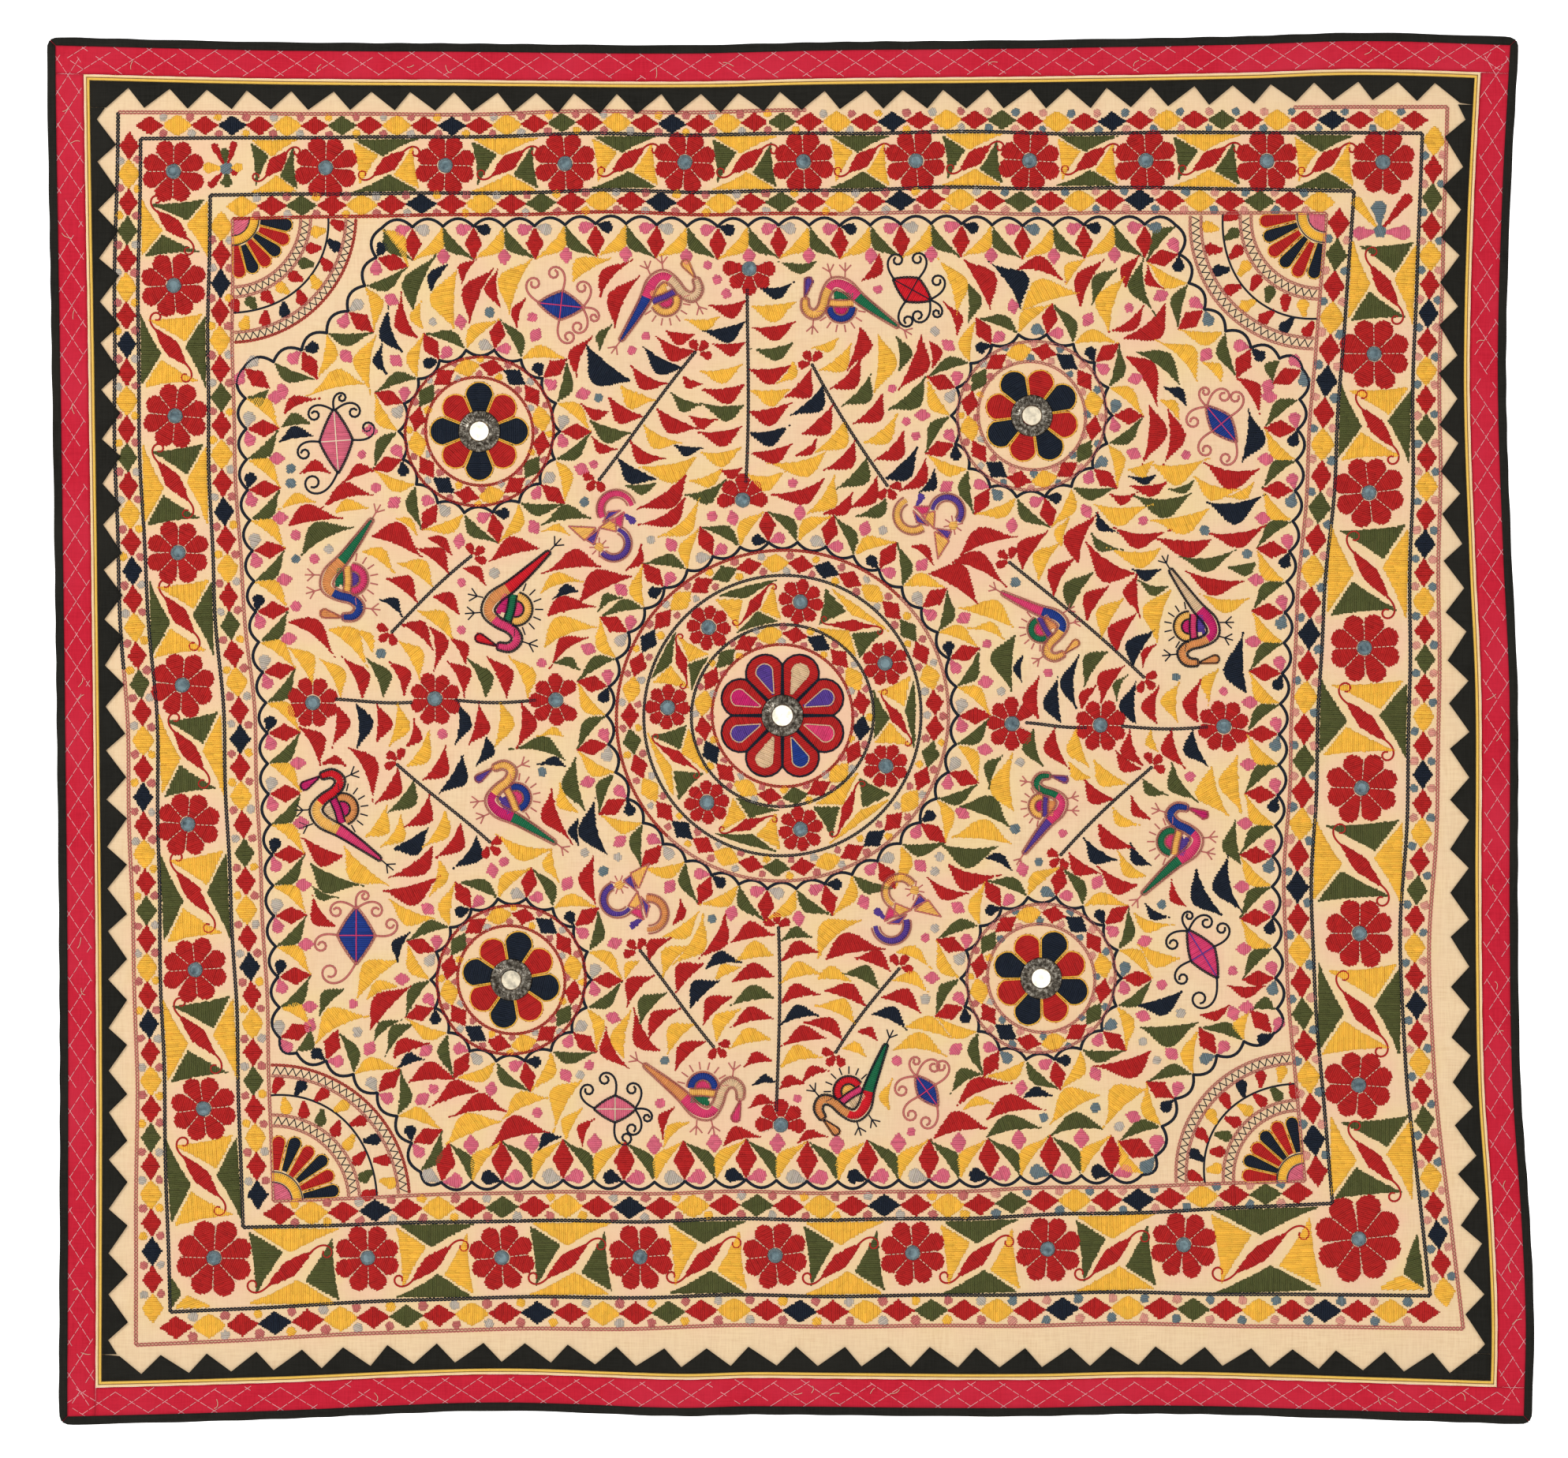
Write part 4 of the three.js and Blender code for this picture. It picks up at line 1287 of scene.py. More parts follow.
# %% Stems of the field
# Rows of (root, tip, how many ends berries close, from the root on, turn of all leaves, lean of both
# sides to the tip); bellies point to the root
STEMS = [
    (-193 - 500j, -255 - 500j, 0, 0.15, 0.28), (-287 - 500j, -346 - 501j, 0, 0.15, 0.28),
    (179 - 519j, 226 - 519j, 0, 0.15, 0.15), (252 - 520j, 318 - 520j, 0, 0.15, 0.15),
    (-35 - 335j, -31 - 187j, 0, 0.16, 0), (-147 - 332j, -70 - 236j, 2, 0.25, 0),
    (74 - 338j, 17 - 244j, 2, 0.22, 0), (-10 - 672j, -9 - 813j, 1, 0.18, 0),
    (-116 - 691j, -56 - 763j, 2, 0.12, 0), (83 - 703j, 35 - 769j, 2, 0.25, 0),
    (-241 - 391j, -304 - 448j, 2, 0.22, 0), (-229 - 610j, -298 - 547j, 2, 0.15, 0),
    (167 - 394j, 269 - 484j, 2, 0.2, 0), (206 - 619j, 275 - 550j, 2, 0.2, 0),
]
STEM_WAVE = 2.0
BERRY_TURNS = (-1.15, 0, 1.15)


def berries(piece, end, way):
    """Three red berries at the end of a stem."""
    for turn in BERRY_TURNS:
        ray = way * np.exp(1j * turn)
        petal(piece, end + 1.5 * ray, end + 10.5 * ray, 1.2, 6.4, "red")


for number, (root, tip, closed_ends, *_) in enumerate(STEMS):
    way = unit(tip - root)
    t = np.linspace(0, 1, 20)
    line = root + (tip - root) * t + 1j * way * STEM_WAVE * np.sin(math.pi * t + number)
    chain("field_stems", line, "navy", 2.4)
    for end, ray in ((root, -way), (tip, way))[:closed_ends]:
        berries("field_stems", end, ray)
print("stems:", len(STEMS))

# %% [markdown]
# ## Birds
# Twelve long-tailed birds stand round the medallions. Each is an S of three colours from tail to
# neck, a drop for the head, a half-round wing in bands and thin strokes for feet and feathers. They
# share one drawing, turned and mirrored, in the way that a worker repeats a figure from a sample.

# %% Birds
# From the tail's tip to the neck's end, in millimetres, and the width there
BIRD_SPINE = [27 + 46j, 16 + 30j, 5 + 15j, -5 + 4j, -7 - 6j, 1 - 12j, 12 - 15j, 18 - 21j, 14 - 28j,
              5 - 29j]
BIRD_WIDTHS = [1.6, 5.0, 7.5, 9.0, 8.0, 6.2, 6.0, 6.0, 5.4, 4.0]
TAIL_ANGLE = np.angle(BIRD_SPINE[0])
WING_HUB = 12.2 + 0j
# Rows of (root, way) of the forked strokes at the feet, the neck and the tail
BIRD_FEET = [(-12.5 + 3j, -1), (-12 - 8j, -1 - 0.3j), (22.5 - 22j, 1 - 0.1j), (27.5 + 47j, 0.5 + 0.86j)]
# Rows of (place, size, tail's direction in degrees, mirrored, colours of outline, tail, body, neck,
# head, wing ring, wing core, wing band and wing patch)
BIRDS = [
    (-99 - 186j, 0.95, 234, True, "salmon blue rose sand peach peach rose purple peach"),
    (39 - 190j, 0.95, -31, False, "salmon emerald rose peach purple blue magenta peach emerald"),
    (-345 - 408j, 1.0, 59, False, "salmon emerald orange blue orange rose purple peach emerald"),
    (-221 - 428j, 1.05, 47, False, "navy scarlet orange rose scarlet peach rose emerald magenta"),
    (200 - 441j, 0.85, 150, True, "salmon rose blue peach peach emerald rose purple orange"),
    (315 - 444j, 0.95, 121, True, "navy sand magenta orange orange peach magenta rose purple"),
    (-352 - 587j, 1.0, -40, True, "navy rose peach scarlet magenta orange magenta magenta sand"),
    (-219 - 579j, 0.95, -36, True, "salmon emerald magenta peach purple blue rose peach purple"),
    (-67 - 807j, 1.0, 146, False, "salmon orange rose sand rose blue rose peach emerald"),
    (51 - 807j, 0.95, 64, True, "navy emerald scarlet orange orange scarlet peach rose sand"),
    (201 - 581j, 0.8, 237, False, "salmon purple rose emerald purple peach magenta purple orange"),
    (302 - 610j, 0.95, 228, False, "salmon emerald rose blue magenta emerald rose peach purple"),
]


def bird(piece, place, size, tail_degrees, mirrored, colours):
    """One bird, turned so that its tail points in a direction."""
    outline, tail, body, neck, head, ring, core, across_wing, patch_colour = colours.split()
    tail_turn = TAIL_ANGLE if mirrored else -TAIL_ANGLE
    turn = np.exp(1j * (math.radians(tail_degrees) + tail_turn))

    def at(point):
        point = np.asarray(point, complex)
        return place + size * turn * (np.conj(point) if mirrored else point)

    spine = at(smooth_path(BIRD_SPINE))
    widths = [size * w for w in BIRD_WIDTHS]
    ribbon(piece, spine, widths, [(0.36, tail), (0.63, body), (1.01, neck)])
    half = np.interp(np.linspace(0, 1, len(spine)), np.linspace(0, 1, len(widths)), widths) / 2 + 0.8
    side = left_of(spine) * half
    edge = closed(np.concatenate([spine + side, (spine - side)[::-1]]))
    chain(piece, edge, outline, 1.8, 2.2, 0.3)
    head_outline = petal_outline(at(4 - 29j), at(-12 - 25.5j), 1.0, 7.0 * size)
    fill(piece, head_outline, head, np.angle(turn))
    chain(piece, closed(head_outline), outline, 1.3, 2.2, 0.3)
    wing_patch = at(patch((-1 - 7j, 1.0), (5 - 5j, -0.5), (5 + 8j, -0.5), (1 + 9j, 0.0)))
    fill(piece, wing_patch, patch_colour, np.angle(turn))
    ribbon(piece, at([8.2 - 9j, 9 - 1j, 8.2 + 9j]), [5 * size] * 2, [(1, across_wing)])
    wing = np.exp(1j * np.linspace(-math.pi / 2, math.pi / 2, 24))
    fill(piece, at(np.append(WING_HUB + 5.2 * wing, WING_HUB)), core, np.angle(turn) + 0.4)
    ribbon(piece, at(WING_HUB + 9 * wing), [5.2 * size] * 2, [(1, ring)])
    for line, width in ((WING_HUB + 12.3 * wing, 1.5), (WING_HUB + 5.9 * wing, 1.2),
                        ([5.4 - 9j, 6.2 - 1j, 5.4 + 9j], 1.2), ([11.2 - 10j, 11.8 - 1j, 11.2 + 10j], 1.2)):
        chain(piece, at(line), outline, width, 2.2, 0.3)
    rays = np.exp(1j * np.linspace(-1.4, 1.4, 8))
    strokes = [(WING_HUB + 14 * ray, WING_HUB + 20 * ray) for ray in rays]
    for foot, way in BIRD_FEET:
        knee = foot + 4.5 * unit(way)
        strokes += [(foot, knee)]
        strokes += [(knee, knee + 7 * unit(way) * np.exp(1j * a)) for a in (-0.75, 0, 0.75)]
    a, b = (at([row[i] for row in strokes]) for i in (0, 1))
    lay(piece, a, b, outline, 1.1, 0.1)
    mark_path(np.concatenate([a, (a + b) / 2, b]))


for row in BIRDS:
    bird("field_birds", *row)
print("birds:", len(BIRDS))

# %% [markdown]
# ## Kites with curls, and scrolls
# Kite-shaped figures send out spiral tendrils from their four corners, and a few loose scrolls of
# short bands and triangles fill the places beside the central medallion. Tendrils are wound by a
# heading that turns faster and faster, which gives an even spiral without any hand-placed points.

# %% Kites and scrolls
# Rows of (place, half length, half width, direction of the three-curled end in degrees, colour,
# outline, cross)
KITES = [
    (-174 - 200j, 16.5, 10.5, -6, "blue", "salmon", "rose"),
    (93 - 188j, 15.5, 9.5, -29, "scarlet", "navy", "navy"),
    (-345 - 303j, 23.0, 11.8, 94, "pink", "navy", "pale"),
    (328 - 290j, 17.0, 8.5, 130, "blue", "salmon", "rose"),
    (-330 - 679j, 20.5, 13.5, 90, "blue", "salmon", "rose"),
    (314 - 693j, 20.5, 9.8, 122, "rose", "navy", "purple"),
    (-133 - 811j, 15.0, 9.5, 0, "pink", "navy", "pale"),
    (104 - 797j, 13.5, 7.2, 126, "blue", "salmon", "rose"),
]
# Rows of (corner, way off the kite's direction, hand, share of the usual length) of five tendrils
TENDRIL = 46
TENDRILS = [(1, -1.7, 1, 1), (3, 1.4, 1, 1), (2, 1.0, 1, 1), (2, 0.1, -1, 0.75), (2, -1.0, -1, 1)]
# The tail's tendril is longer on long kites
LONG_KITE, LONG_TAIL = 18, 1.4
# Rows of (place, turn in degrees, colours of the two scrolls)
SCROLLS = [(-142 - 367j, 0, "rose", "purple"), (107 - 367j, 100, "peach", "purple"),
           (-115 - 649j, 250, "orange", "purple"), (89 - 661j, 170, "purple", "peach")]


def kite(piece, place, long, wide, degrees, colour, outline, cross):
    """A swelling rhomb with a cross on it and tendrils from its corners."""
    turn = np.exp(1j * math.radians(degrees))
    corners = [place + turn * c for c in (-long, -1j * wide, long, 1j * wide)]
    shape = patch(*[(corner, -0.9) for corner in corners])
    fill(piece, shape, colour, np.angle(turn) + math.pi / 2)
    lay(piece, [corners[0], corners[1]], [corners[2], corners[3]], cross, 0.9, 0.5)
    edge = place + (shape - place) * 1.08
    chain(piece, closed(edge), outline, 1.9, 2.4, 0.2)
    tail = (0, math.pi - 0.5, -1, 1 if long < LONG_KITE else LONG_TAIL)
    for corner, way, hand, share in [tail, *TENDRILS]:
        line = curl(corners[corner], math.radians(degrees) + way, share * TENDRIL, 1.3, hand)
        stem_stitch(piece, line, outline, 1.7, 2.2)


# Rows of (corners, colour) of a scroll's triangles, and the middle of its star
SCROLL_TRIANGLES = [
    ((-26 - 1j, -14 - 12j, -5 - 2j), "peach"), ((-13 - 11j, -7 - 15j, -3 - 3j), "purple"),
    ((-3 - 2j, 9 + 6j, 10 - 5j), "peach"), ((0 + 2j, 13 + 11j, 4 + 10j), "purple"),
    ((6 + 3j, 16 + 10j, 14 - 2j), "rose"),
]
SCROLL_STAR = -3 - 17j


def scroll(piece, place, degrees, first_colour, second_colour):
    """Two bent bands with outlined edges, five triangles and a small star."""
    turn = np.exp(1j * math.radians(degrees))

    def at(point):
        return place + turn * np.asarray(point, complex)

    first, second = at(arc(10 + 12j, 12, 3.6, 0.3)), at(arc(8 - 14j, 11, 1.2, -2.4))
    ribbon(piece, first, [4.6, 4.6, 3.4], [(1, first_colour)])
    ribbon(piece, second, [3, 4.6, 4.2], [(1, second_colour)])
    for line, half in ((first, 3.0), (second, 2.9)):
        for sign in (1, -1):
            chain(piece, line + sign * half * left_of(line), "salmon", 1.4, 2.2, 0.2)
    for corners, colour in SCROLL_TRIANGLES:
        shape = at(patch(*[(corner, 0.0) for corner in corners]))
        fill(piece, shape, colour, np.angle(turn) + 0.5)
        stem_stitch(piece, closed(shape), "salmon", 1.2, 2.2, 0.3)
    rays = np.exp(1j * np.linspace(0, 2 * math.pi, 9)[:-1])
    lay(piece, at(SCROLL_STAR + 3.2 * rays), at(SCROLL_STAR + 7.5 * rays), "salmon", 1.1)
    dot(piece, at(SCROLL_STAR), 3.2, "peach")
    petal(piece, at(16 + 8j), at(24 + 2j), 1.0, 5.0, "purple")


for row in KITES:
    kite("kites_and_scrolls", *row)
for row in SCROLLS:
    scroll("kites_and_scrolls", *row)
print("kites:", len(KITES), "scrolls:", len(SCROLLS))

# %% [markdown]
# ## Leaves on the stems
# Boat-shaped leaves stand on both sides of each stem, and their bellies all point to its root. Red
# takes every second leaf, and yellow, navy, yellow and green share the rest in turn. A worker sews a
# shorter leaf where a bird or a neighbour is in the way, so each leaf is tried at several lengths.

# %% Stem leaves
LEAF_ORDER = ("red", "yellow", "red", "navy", "red", "yellow", "red", "green")
LEAF_STEP = 16.0
LEAF_TRIES = (1.0, 0.9, 0.78, 0.66, 0.54)
# The part of a leaf next to its stem, which is not tested, and the gap kept round the rest
LEAF_ROOT, LEAF_GAP = 0.24, 0.5
# Least and greatest length, belly, hollow and peak of a leaf
LEAST_LEAF, GREATEST_LEAF = (30, 11.8, 0.8, 0.38), (36, 13.8, 2.8, 0.55)
flow_places, flow_ways = [], []


def free(outline, margin):
    """Whether no worked cell lies in or on an outline, moved outwards by about a margin."""
    middle = outline.mean()
    outline = middle + (outline - middle) * (1 + margin / np.abs(outline - middle).clip(3))
    return not (worked[cell_of(outline)].any() or worked[cells_in(outline)].any())


for number, (root, tip, _, turn, lean) in enumerate(STEMS):
    way = unit(tip - root)
    steps = round(abs(tip - root) / LEAF_STEP)
    for side, n in [(side, n) for side in (1, -1) for n in range(steps)]:
        out = side * 1j * way * np.exp(1j * (turn - side * lean + rng.normal(0, 0.05)))
        start = root + way * LEAF_STEP * (n + (0.7 if side > 0 else 0.4)) + 1.9 * side * 1j * way
        colour = LEAF_ORDER[(n + (0 if side > 0 else 5) + number) % 8]
        full, belly, hollow, peak = rng.uniform(LEAST_LEAF, GREATEST_LEAF)
        for share in LEAF_TRIES:
            end = start + share * full * out
            form = (end, side * share * belly, side * share * hollow, peak)
            if free(leaf_outline(start + LEAF_ROOT * (end - start), *form), LEAF_GAP):
                leaf("stem_leaves", (start, *form), colour)
                flow_places.append((start + end) / 2)
                flow_ways.append(side * out)
                break
print("leaves on the stems:", len(flow_places))

# %% [markdown]
# ## Loose leaves
# The worker filled what was left with loose leaves that lie side by side like a shoal of fish. The
# script does the same: a few listed ways and the stems' own leaves say how the shoal lies. Places
# close to finished work are tried first, large leaves before small ones, and a leaf stays where no
# worked cell is in its way.

# %% The shoal of leaves
# Rows of (place, way of the leaves in degrees), with the bellies on the left of that way
SHOAL = [
    (-260 - 190j, 70), (-360 - 260j, 10), (-335 - 345j, 15), (-345 - 455j, -40), (-265 - 465j, -65),
    (-190 - 390j, 0), (-165 - 430j, 20), (-90 - 345j, 215), (-150 - 210j, 40), (-300 - 220j, 110),
    (140 - 183j, -65), (245 - 185j, 65), (275 - 212j, 230), (295 - 262j, -40), (290 - 340j, 185),
    (325 - 400j, 180), (265 - 395j, 175), (252 - 447j, 70), (145 - 420j, -20), (70 - 240j, 260),
    (-345 - 560j, -10), (-330 - 640j, 150), (-340 - 715j, 35), (-260 - 820j, 20), (-160 - 590j, 105),
    (-180 - 535j, 0), (-70 - 670j, 230), (-110 - 765j, 115), (150 - 605j, -25), (135 - 630j, 165),
    (230 - 572j, 140), (325 - 600j, 110), (310 - 730j, 190), (75 - 800j, 65), (160 - 825j, 15),
    (45 - 680j, 10),
]
LEAF_SIZES = (46, 46, 42, 42, 38, 38, 34, 34, 30, 30, 27, 24, 22)
LEAF_SHARES = {"red": 0.46, "yellow": 0.3, "green": 0.11, "navy": 0.13}
# Step between the places that are tried, how near a neighbour is, the gap kept round a leaf, and up
# to how many cells the distance to finished work is counted
TRY_STEP, NEIGHBOUR, CLEAR, ROOM_REACH = 3.6, 32, 1.2, 16
# Dots fill the last gaps: their colours in turn, their least and greatest radius, and the radius and
# the gap round it that must be free for one
LOOSE_DOTS = ("pink", "silver", "pink", "grey")
LOOSE_DOT, DOT_ROOM, DOT_GAP = (2.8, 3.6), 5.7, 1.0

places = np.array(flow_places + [place for place, degrees in SHOAL])
ways = np.array(flow_ways + [3 * np.exp(1j * math.radians(degrees)) for place, degrees in SHOAL])


def flow(point):
    """The way that leaves lie here: a mean of the neighbours' ways, nearest ones most."""
    return unit((ways / (np.abs(places - point) ** 2 + 60) ** 2).sum())


def room():
    """How many cells lie between each cell and the nearest worked one."""
    grown, cells = worked.copy(), np.zeros(worked.shape, int)
    for _ in range(ROOM_REACH):
        cells += ~grown
        grown[1:] |= grown[:-1]
        grown[:-1] |= grown[1:]
        grown[:, 1:] |= grown[:, :-1]
        grown[:, :-1] |= grown[:, 1:]
    return cells


def next_colour(place):
    """A colour by its share, less often where a neighbour has it."""
    beside = [name for spot, name in loose if abs(spot - place) < NEIGHBOUR]
    odds = np.array([share * 0.4 ** beside.count(name) for name, share in LEAF_SHARES.items()])
    return list(LEAF_SHARES)[rng.choice(len(odds), p=odds / odds.sum())]


outside_field = np.ones_like(worked)
outside_field[cells_in(field_edge)] = False
worked |= outside_field
low, high = (complex(pick(field_edge.real), pick(field_edge.imag)) for pick in (np.min, np.max))
xs, zs = np.arange(low.real, high.real, TRY_STEP), np.arange(low.imag, high.imag, TRY_STEP)
tries = (xs[:, None] + 1j * zs[None, :]).ravel()
loose = []
for long in LEAF_SIZES:
    near = room()[cell_of(tries)]
    for n in np.argsort(near + rng.uniform(0, 2, len(near))):
        if not near[n]:
            continue
        way = flow(tries[n]) * np.exp(1j * rng.normal(0, 0.16))
        belly, hollow, peak = rng.uniform((0.31 * long, 0.02 * long, 0.36), (0.43 * long, 0.1 * long, 0.6))
        a = tries[n] - way * (long / 2 + 1j * belly / 3)
        form = (a, a + way * long, belly, hollow, peak)
        if free(leaf_outline(*form), CLEAR):
            loose.append((tries[n], next_colour(tries[n])))
            leaf("loose_leaves", form, loose[-1][1])
dots = 0
for place in tries[rng.permutation(len(tries))]:
    if free(dot_outline(place, DOT_ROOM), DOT_GAP):
        dot("loose_leaves", place, rng.uniform(*LOOSE_DOT), LOOSE_DOTS[dots % len(LOOSE_DOTS)])
        dots += 1
print("loose leaves:", len(loose), "dots:", dots)

# %% [markdown]
# ## Running stitches on the band
# The quilting thread is pale and thin: short stitches with small gaps along both families of lattice
# lines, with a few loose ends left lying. They use the same stitch rows, lifted onto the band.

# %% Lattice of running stitches
VISIBLE_BAND = (BINDING_WIDTH + 0.4, BAND_INNER - 0.4)
RUN_STEP, RUN_STITCH = 6.2, 5.4
# The thread lies in the lattice's valleys, which the grid of the band rounds off by about half
ON_BAND = BAND_THICKNESS / 2 + 0.5 * RHOMB_RISE - GROUND_THICKNESS / 2
# Loose ends on each side, and the share of the stitches that is worn away
LOOSE_ENDS, WORN_AWAY = 11, 0.04


def band_place(side, along, depth_in):
    """A place on a band from x or z along it and the distance from the outer edge."""
    edge = inset(depth_in)[side](along)
    return along + 1j * edge if side in ("top", "bottom") else edge + 1j * along


across = VISIBLE_BAND[1] - VISIBLE_BAND[0]
run = across * math.hypot(RHOMB_LENGTH / RHOMB_ACROSS, 1)
for side in SIDES:
    if side in ("top", "bottom"):
        ends = [band_place(end, -HANGING_HEIGHT / 2, VISIBLE_BAND[0]) for end in ("left", "right")]
        first, last = (end.real for end in ends)
    else:
        first, last = (band_place(end, 0, VISIBLE_BAND[0]).imag for end in ("bottom", "top"))
    for n in range(math.floor(first / RHOMB_LENGTH) - 2, math.ceil(last / RHOMB_LENGTH) + 3):
        for slope in (1, -1):
            begin = rng.uniform(0, RUN_STEP) - RUN_STEP / 2
            share = np.arange(begin, run - RUN_STITCH, RUN_STEP).clip(0) / run
            depths = [VISIBLE_BAND[0] + across * s for s in (share, share + RUN_STITCH / run)]
            alongs = [RHOMB_LENGTH * (n + slope * depth / RHOMB_ACROSS) for depth in depths]
            kept = (np.minimum(*alongs) > first) & (np.maximum(*alongs) < last)
            kept = kept & (rng.random(len(share)) > WORN_AWAY)
            a, b = (band_place(side, along, depth)[kept] for along, depth in zip(alongs, depths))
            lay("band_stitches", a, b, "lattice", 0.58, ON_BAND, 0.0, 0.5)
    for along in rng.uniform(first + 20, last - 20, LOOSE_ENDS):
        heading, reach, turns = rng.uniform(0, 6.28), rng.uniform(6, 10), rng.uniform(0.1, 0.4)
        place = band_place(side, along, sum(VISIBLE_BAND) / 2)
        tail = curl(place, heading, reach, turns, rng.choice([-1, 1]))
        lay("band_stitches", tail[:-3:3], tail[3::3], "pale", 0.5, ON_BAND + 0.3)
print("running stitches:", sum(len(rows) for rows in embroidery["band_stitches"]["satin"]))

# %% [markdown]
# ## From rows to thread
# Cotton embroidery thread is softly twisted and lightly shiny, and a hand-dyed hank is never even.
# Every stitch carries its own colour with a small random tint, a number that runs along it for the
# twist, and its own small cell of a UV map, so that a texture can be baked for all of them at once.

# %% Thread material and the stitch meshes
# Points (along, across, up), from 0 to 1, -1 to 1 and 0 to 1, and faces of one strand of each kind
STRANDS = {
    "satin": ([(0, -1, 0), (0.06, 0, 1), (0, 1, 0), (1, -1, 0), (0.94, 0, 1), (1, 1, 0)],
              [(0, 1, 2), (0, 3, 4), (0, 4, 1), (1, 4, 5), (1, 5, 2), (2, 5, 3), (2, 3, 0), (3, 5, 4)]),
    "link": ([(0, 0, 0.2), (0.26, -1, 0), (0.26, 0, 1), (0.26, 1, 0), (0.74, -1, 0), (0.74, 0, 1),
              (0.74, 1, 0), (1, 0, 0.2)],
             [(0, 1, 2), (0, 2, 3), (0, 3, 1), (1, 4, 5), (1, 5, 2), (2, 5, 6), (2, 6, 3), (1, 3, 6),
              (1, 6, 4), (7, 5, 4), (7, 6, 5), (7, 4, 6)]),
}
# Spread of the stitches' tints, and millimetres for one turn of the twist
TINT, TWIST = 0.05, 1.6
THREAD_COLOURS = np.array([linear(THREADS[name])[:3] for name in THREAD_NAMES])


def strand_points(rows, strand):
    """Points, faces, colours, twist numbers and UV places of all stitches of one kind."""
    shape, faces = (np.array(rows_of_strand) for rows_of_strand in STRANDS[strand])
    along, across, up = shape.T
    start, end = rows[:, 0] + 1j * rows[:, 1], rows[:, 2] + 1j * rows[:, 3]
    width, lift_start, lift_end, sway, height, code = rows[:, 4:].T
    way = end - start
    side = 1j * unit(way)
    middle = (along > 0) & (along < 1)
    aside = across * width[:, None] / 2 + middle * sway[:, None]
    place = start[:, None] + way[:, None] * along + side[:, None] * aside
    lift = lift_start[:, None] * (1 - along) + lift_end[:, None] * along
    depth = GROUND_THICKNESS / 2 + lift + up * height[:, None]
    x, z = place.real.ravel(), place.imag.ravel()
    points = np.column_stack([x, surface(x, z) - depth.ravel(), z]) * MM
    all_faces = (faces[None] + len(shape) * np.arange(len(rows))[:, None, None]).reshape(-1, 3)
    tint = rng.normal(1, TINT, (len(rows), 1)) * rng.normal(1, TINT / 4, (len(rows), 3))
    colours = np.repeat(THREAD_COLOURS[code.astype(int)] * tint.clip(0.7, 1.3), len(shape), 0)
    twist = (np.abs(way)[:, None] * along / TWIST + 0.3 * across).ravel()
    spots = np.tile(np.column_stack([along, across / 2 + 0.5]), (len(rows), 1))
    return points, all_faces, colours, twist, spots


def thread_piece(name, material):
    """One mesh from all stitch rows of a piece."""
    parts, offset, stitches = [], 0, 0
    for strand, arrays in embroidery[name].items():
        rows = np.vstack(arrays)
        points, faces, *rest = strand_points(rows, strand)
        cell = np.repeat(stitches + np.arange(len(rows)), len(points) // len(rows))
        parts.append((points, faces + offset, *rest, cell))
        offset += len(points)
        stitches += len(rows)
    points, faces, colours, twist, spots, cell = (np.concatenate(p) for p in zip(*parts))
    mesh = bpy.data.meshes.new(name)
    mesh.vertices.add(len(points))
    mesh.vertices.foreach_set("co", points.ravel())
    mesh.loops.add(faces.size)
    mesh.loops.foreach_set("vertex_index", faces.ravel())
    mesh.polygons.add(len(faces))
    mesh.polygons.foreach_set("loop_start", np.arange(0, faces.size, 3))
    mesh.polygons.foreach_set("use_smooth", np.ones(len(faces), bool))
    mesh.update(calc_edges=True)
    thread = mesh.attributes.new("thread", "FLOAT_COLOR", "POINT")
    thread.data.foreach_set("color", np.column_stack([colours, np.ones(len(colours))]).ravel())
    mesh.attributes.new("twist", "FLOAT", "POINT").data.foreach_set("value", twist)
    columns = math.ceil(math.sqrt(stitches))
    spots = (np.column_stack([cell % columns, cell // columns]) + 0.08 + 0.84 * spots) / columns
    mesh.uv_layers.new(name="OFBake").data.foreach_set("uv", spots[faces.ravel()].ravel())
    return fit(link_piece(mesh, material), "embroidery_thread")


# Six-strand cotton embroidery thread: a soft lustre along the strands, a faint twist across them
thread_material, thread_shader = new_material("cotton embroidery thread", {
    "Roughness": 0.62, "IOR": 1.5, "Sheen Weight": 0.02, "Sheen Roughness": 0.4, "Specular IOR Level": 0.18})
dye = add_node(thread_material, "ShaderNodeAttribute", attribute_name="thread")
ply = add_node(thread_material, "ShaderNodeAttribute", attribute_name="twist")
turns = add_node(thread_material, "ShaderNodeMath", {1: 2 * math.pi}, {0: ply.outputs["Fac"]},
                 operation="MULTIPLY")
ridge = add_node(thread_material, "ShaderNodeMath", {}, {0: turns.outputs[0]}, operation="SINE")
dress(thread_material, thread_shader, dye.outputs["Color"], ridge.outputs[0], 0.3, 0.12)
thread_pieces = [thread_piece(name, thread_material) for name in embroidery]
sizes = {piece.name: len(piece.data.polygons) for piece in thread_pieces}
print("thread triangles:", sizes, "in all:", sum(sizes.values()))

# %% [markdown]
# ## Dye that bled into the ground
# Old red and yellow dyes bleed when a hanging gets damp, so the cream looks rosy beside red motifs
# and yellow beside yellow ones. The stitches are counted on a coarse grid, the counts are blurred,
# and the ground's points carry the result as two attributes that its material mixes in.

# %% Dye bleed
BLEED_CELL, BLEED_BLUR = 7.0, 2
BLEED_FROM, BLEED_TO = (-600, -1090), (600, 40)
# Rows of (attribute, threads that bled, colour of the stain, how much of it shows at most)
BLEEDS = [("red_bleed", ("red", "pink", "salmon", "rose", "magenta"), "#F5C3A6", 0.7),
          ("yellow_bleed", ("yellow", "green"), "#F3D694", 0.5)]


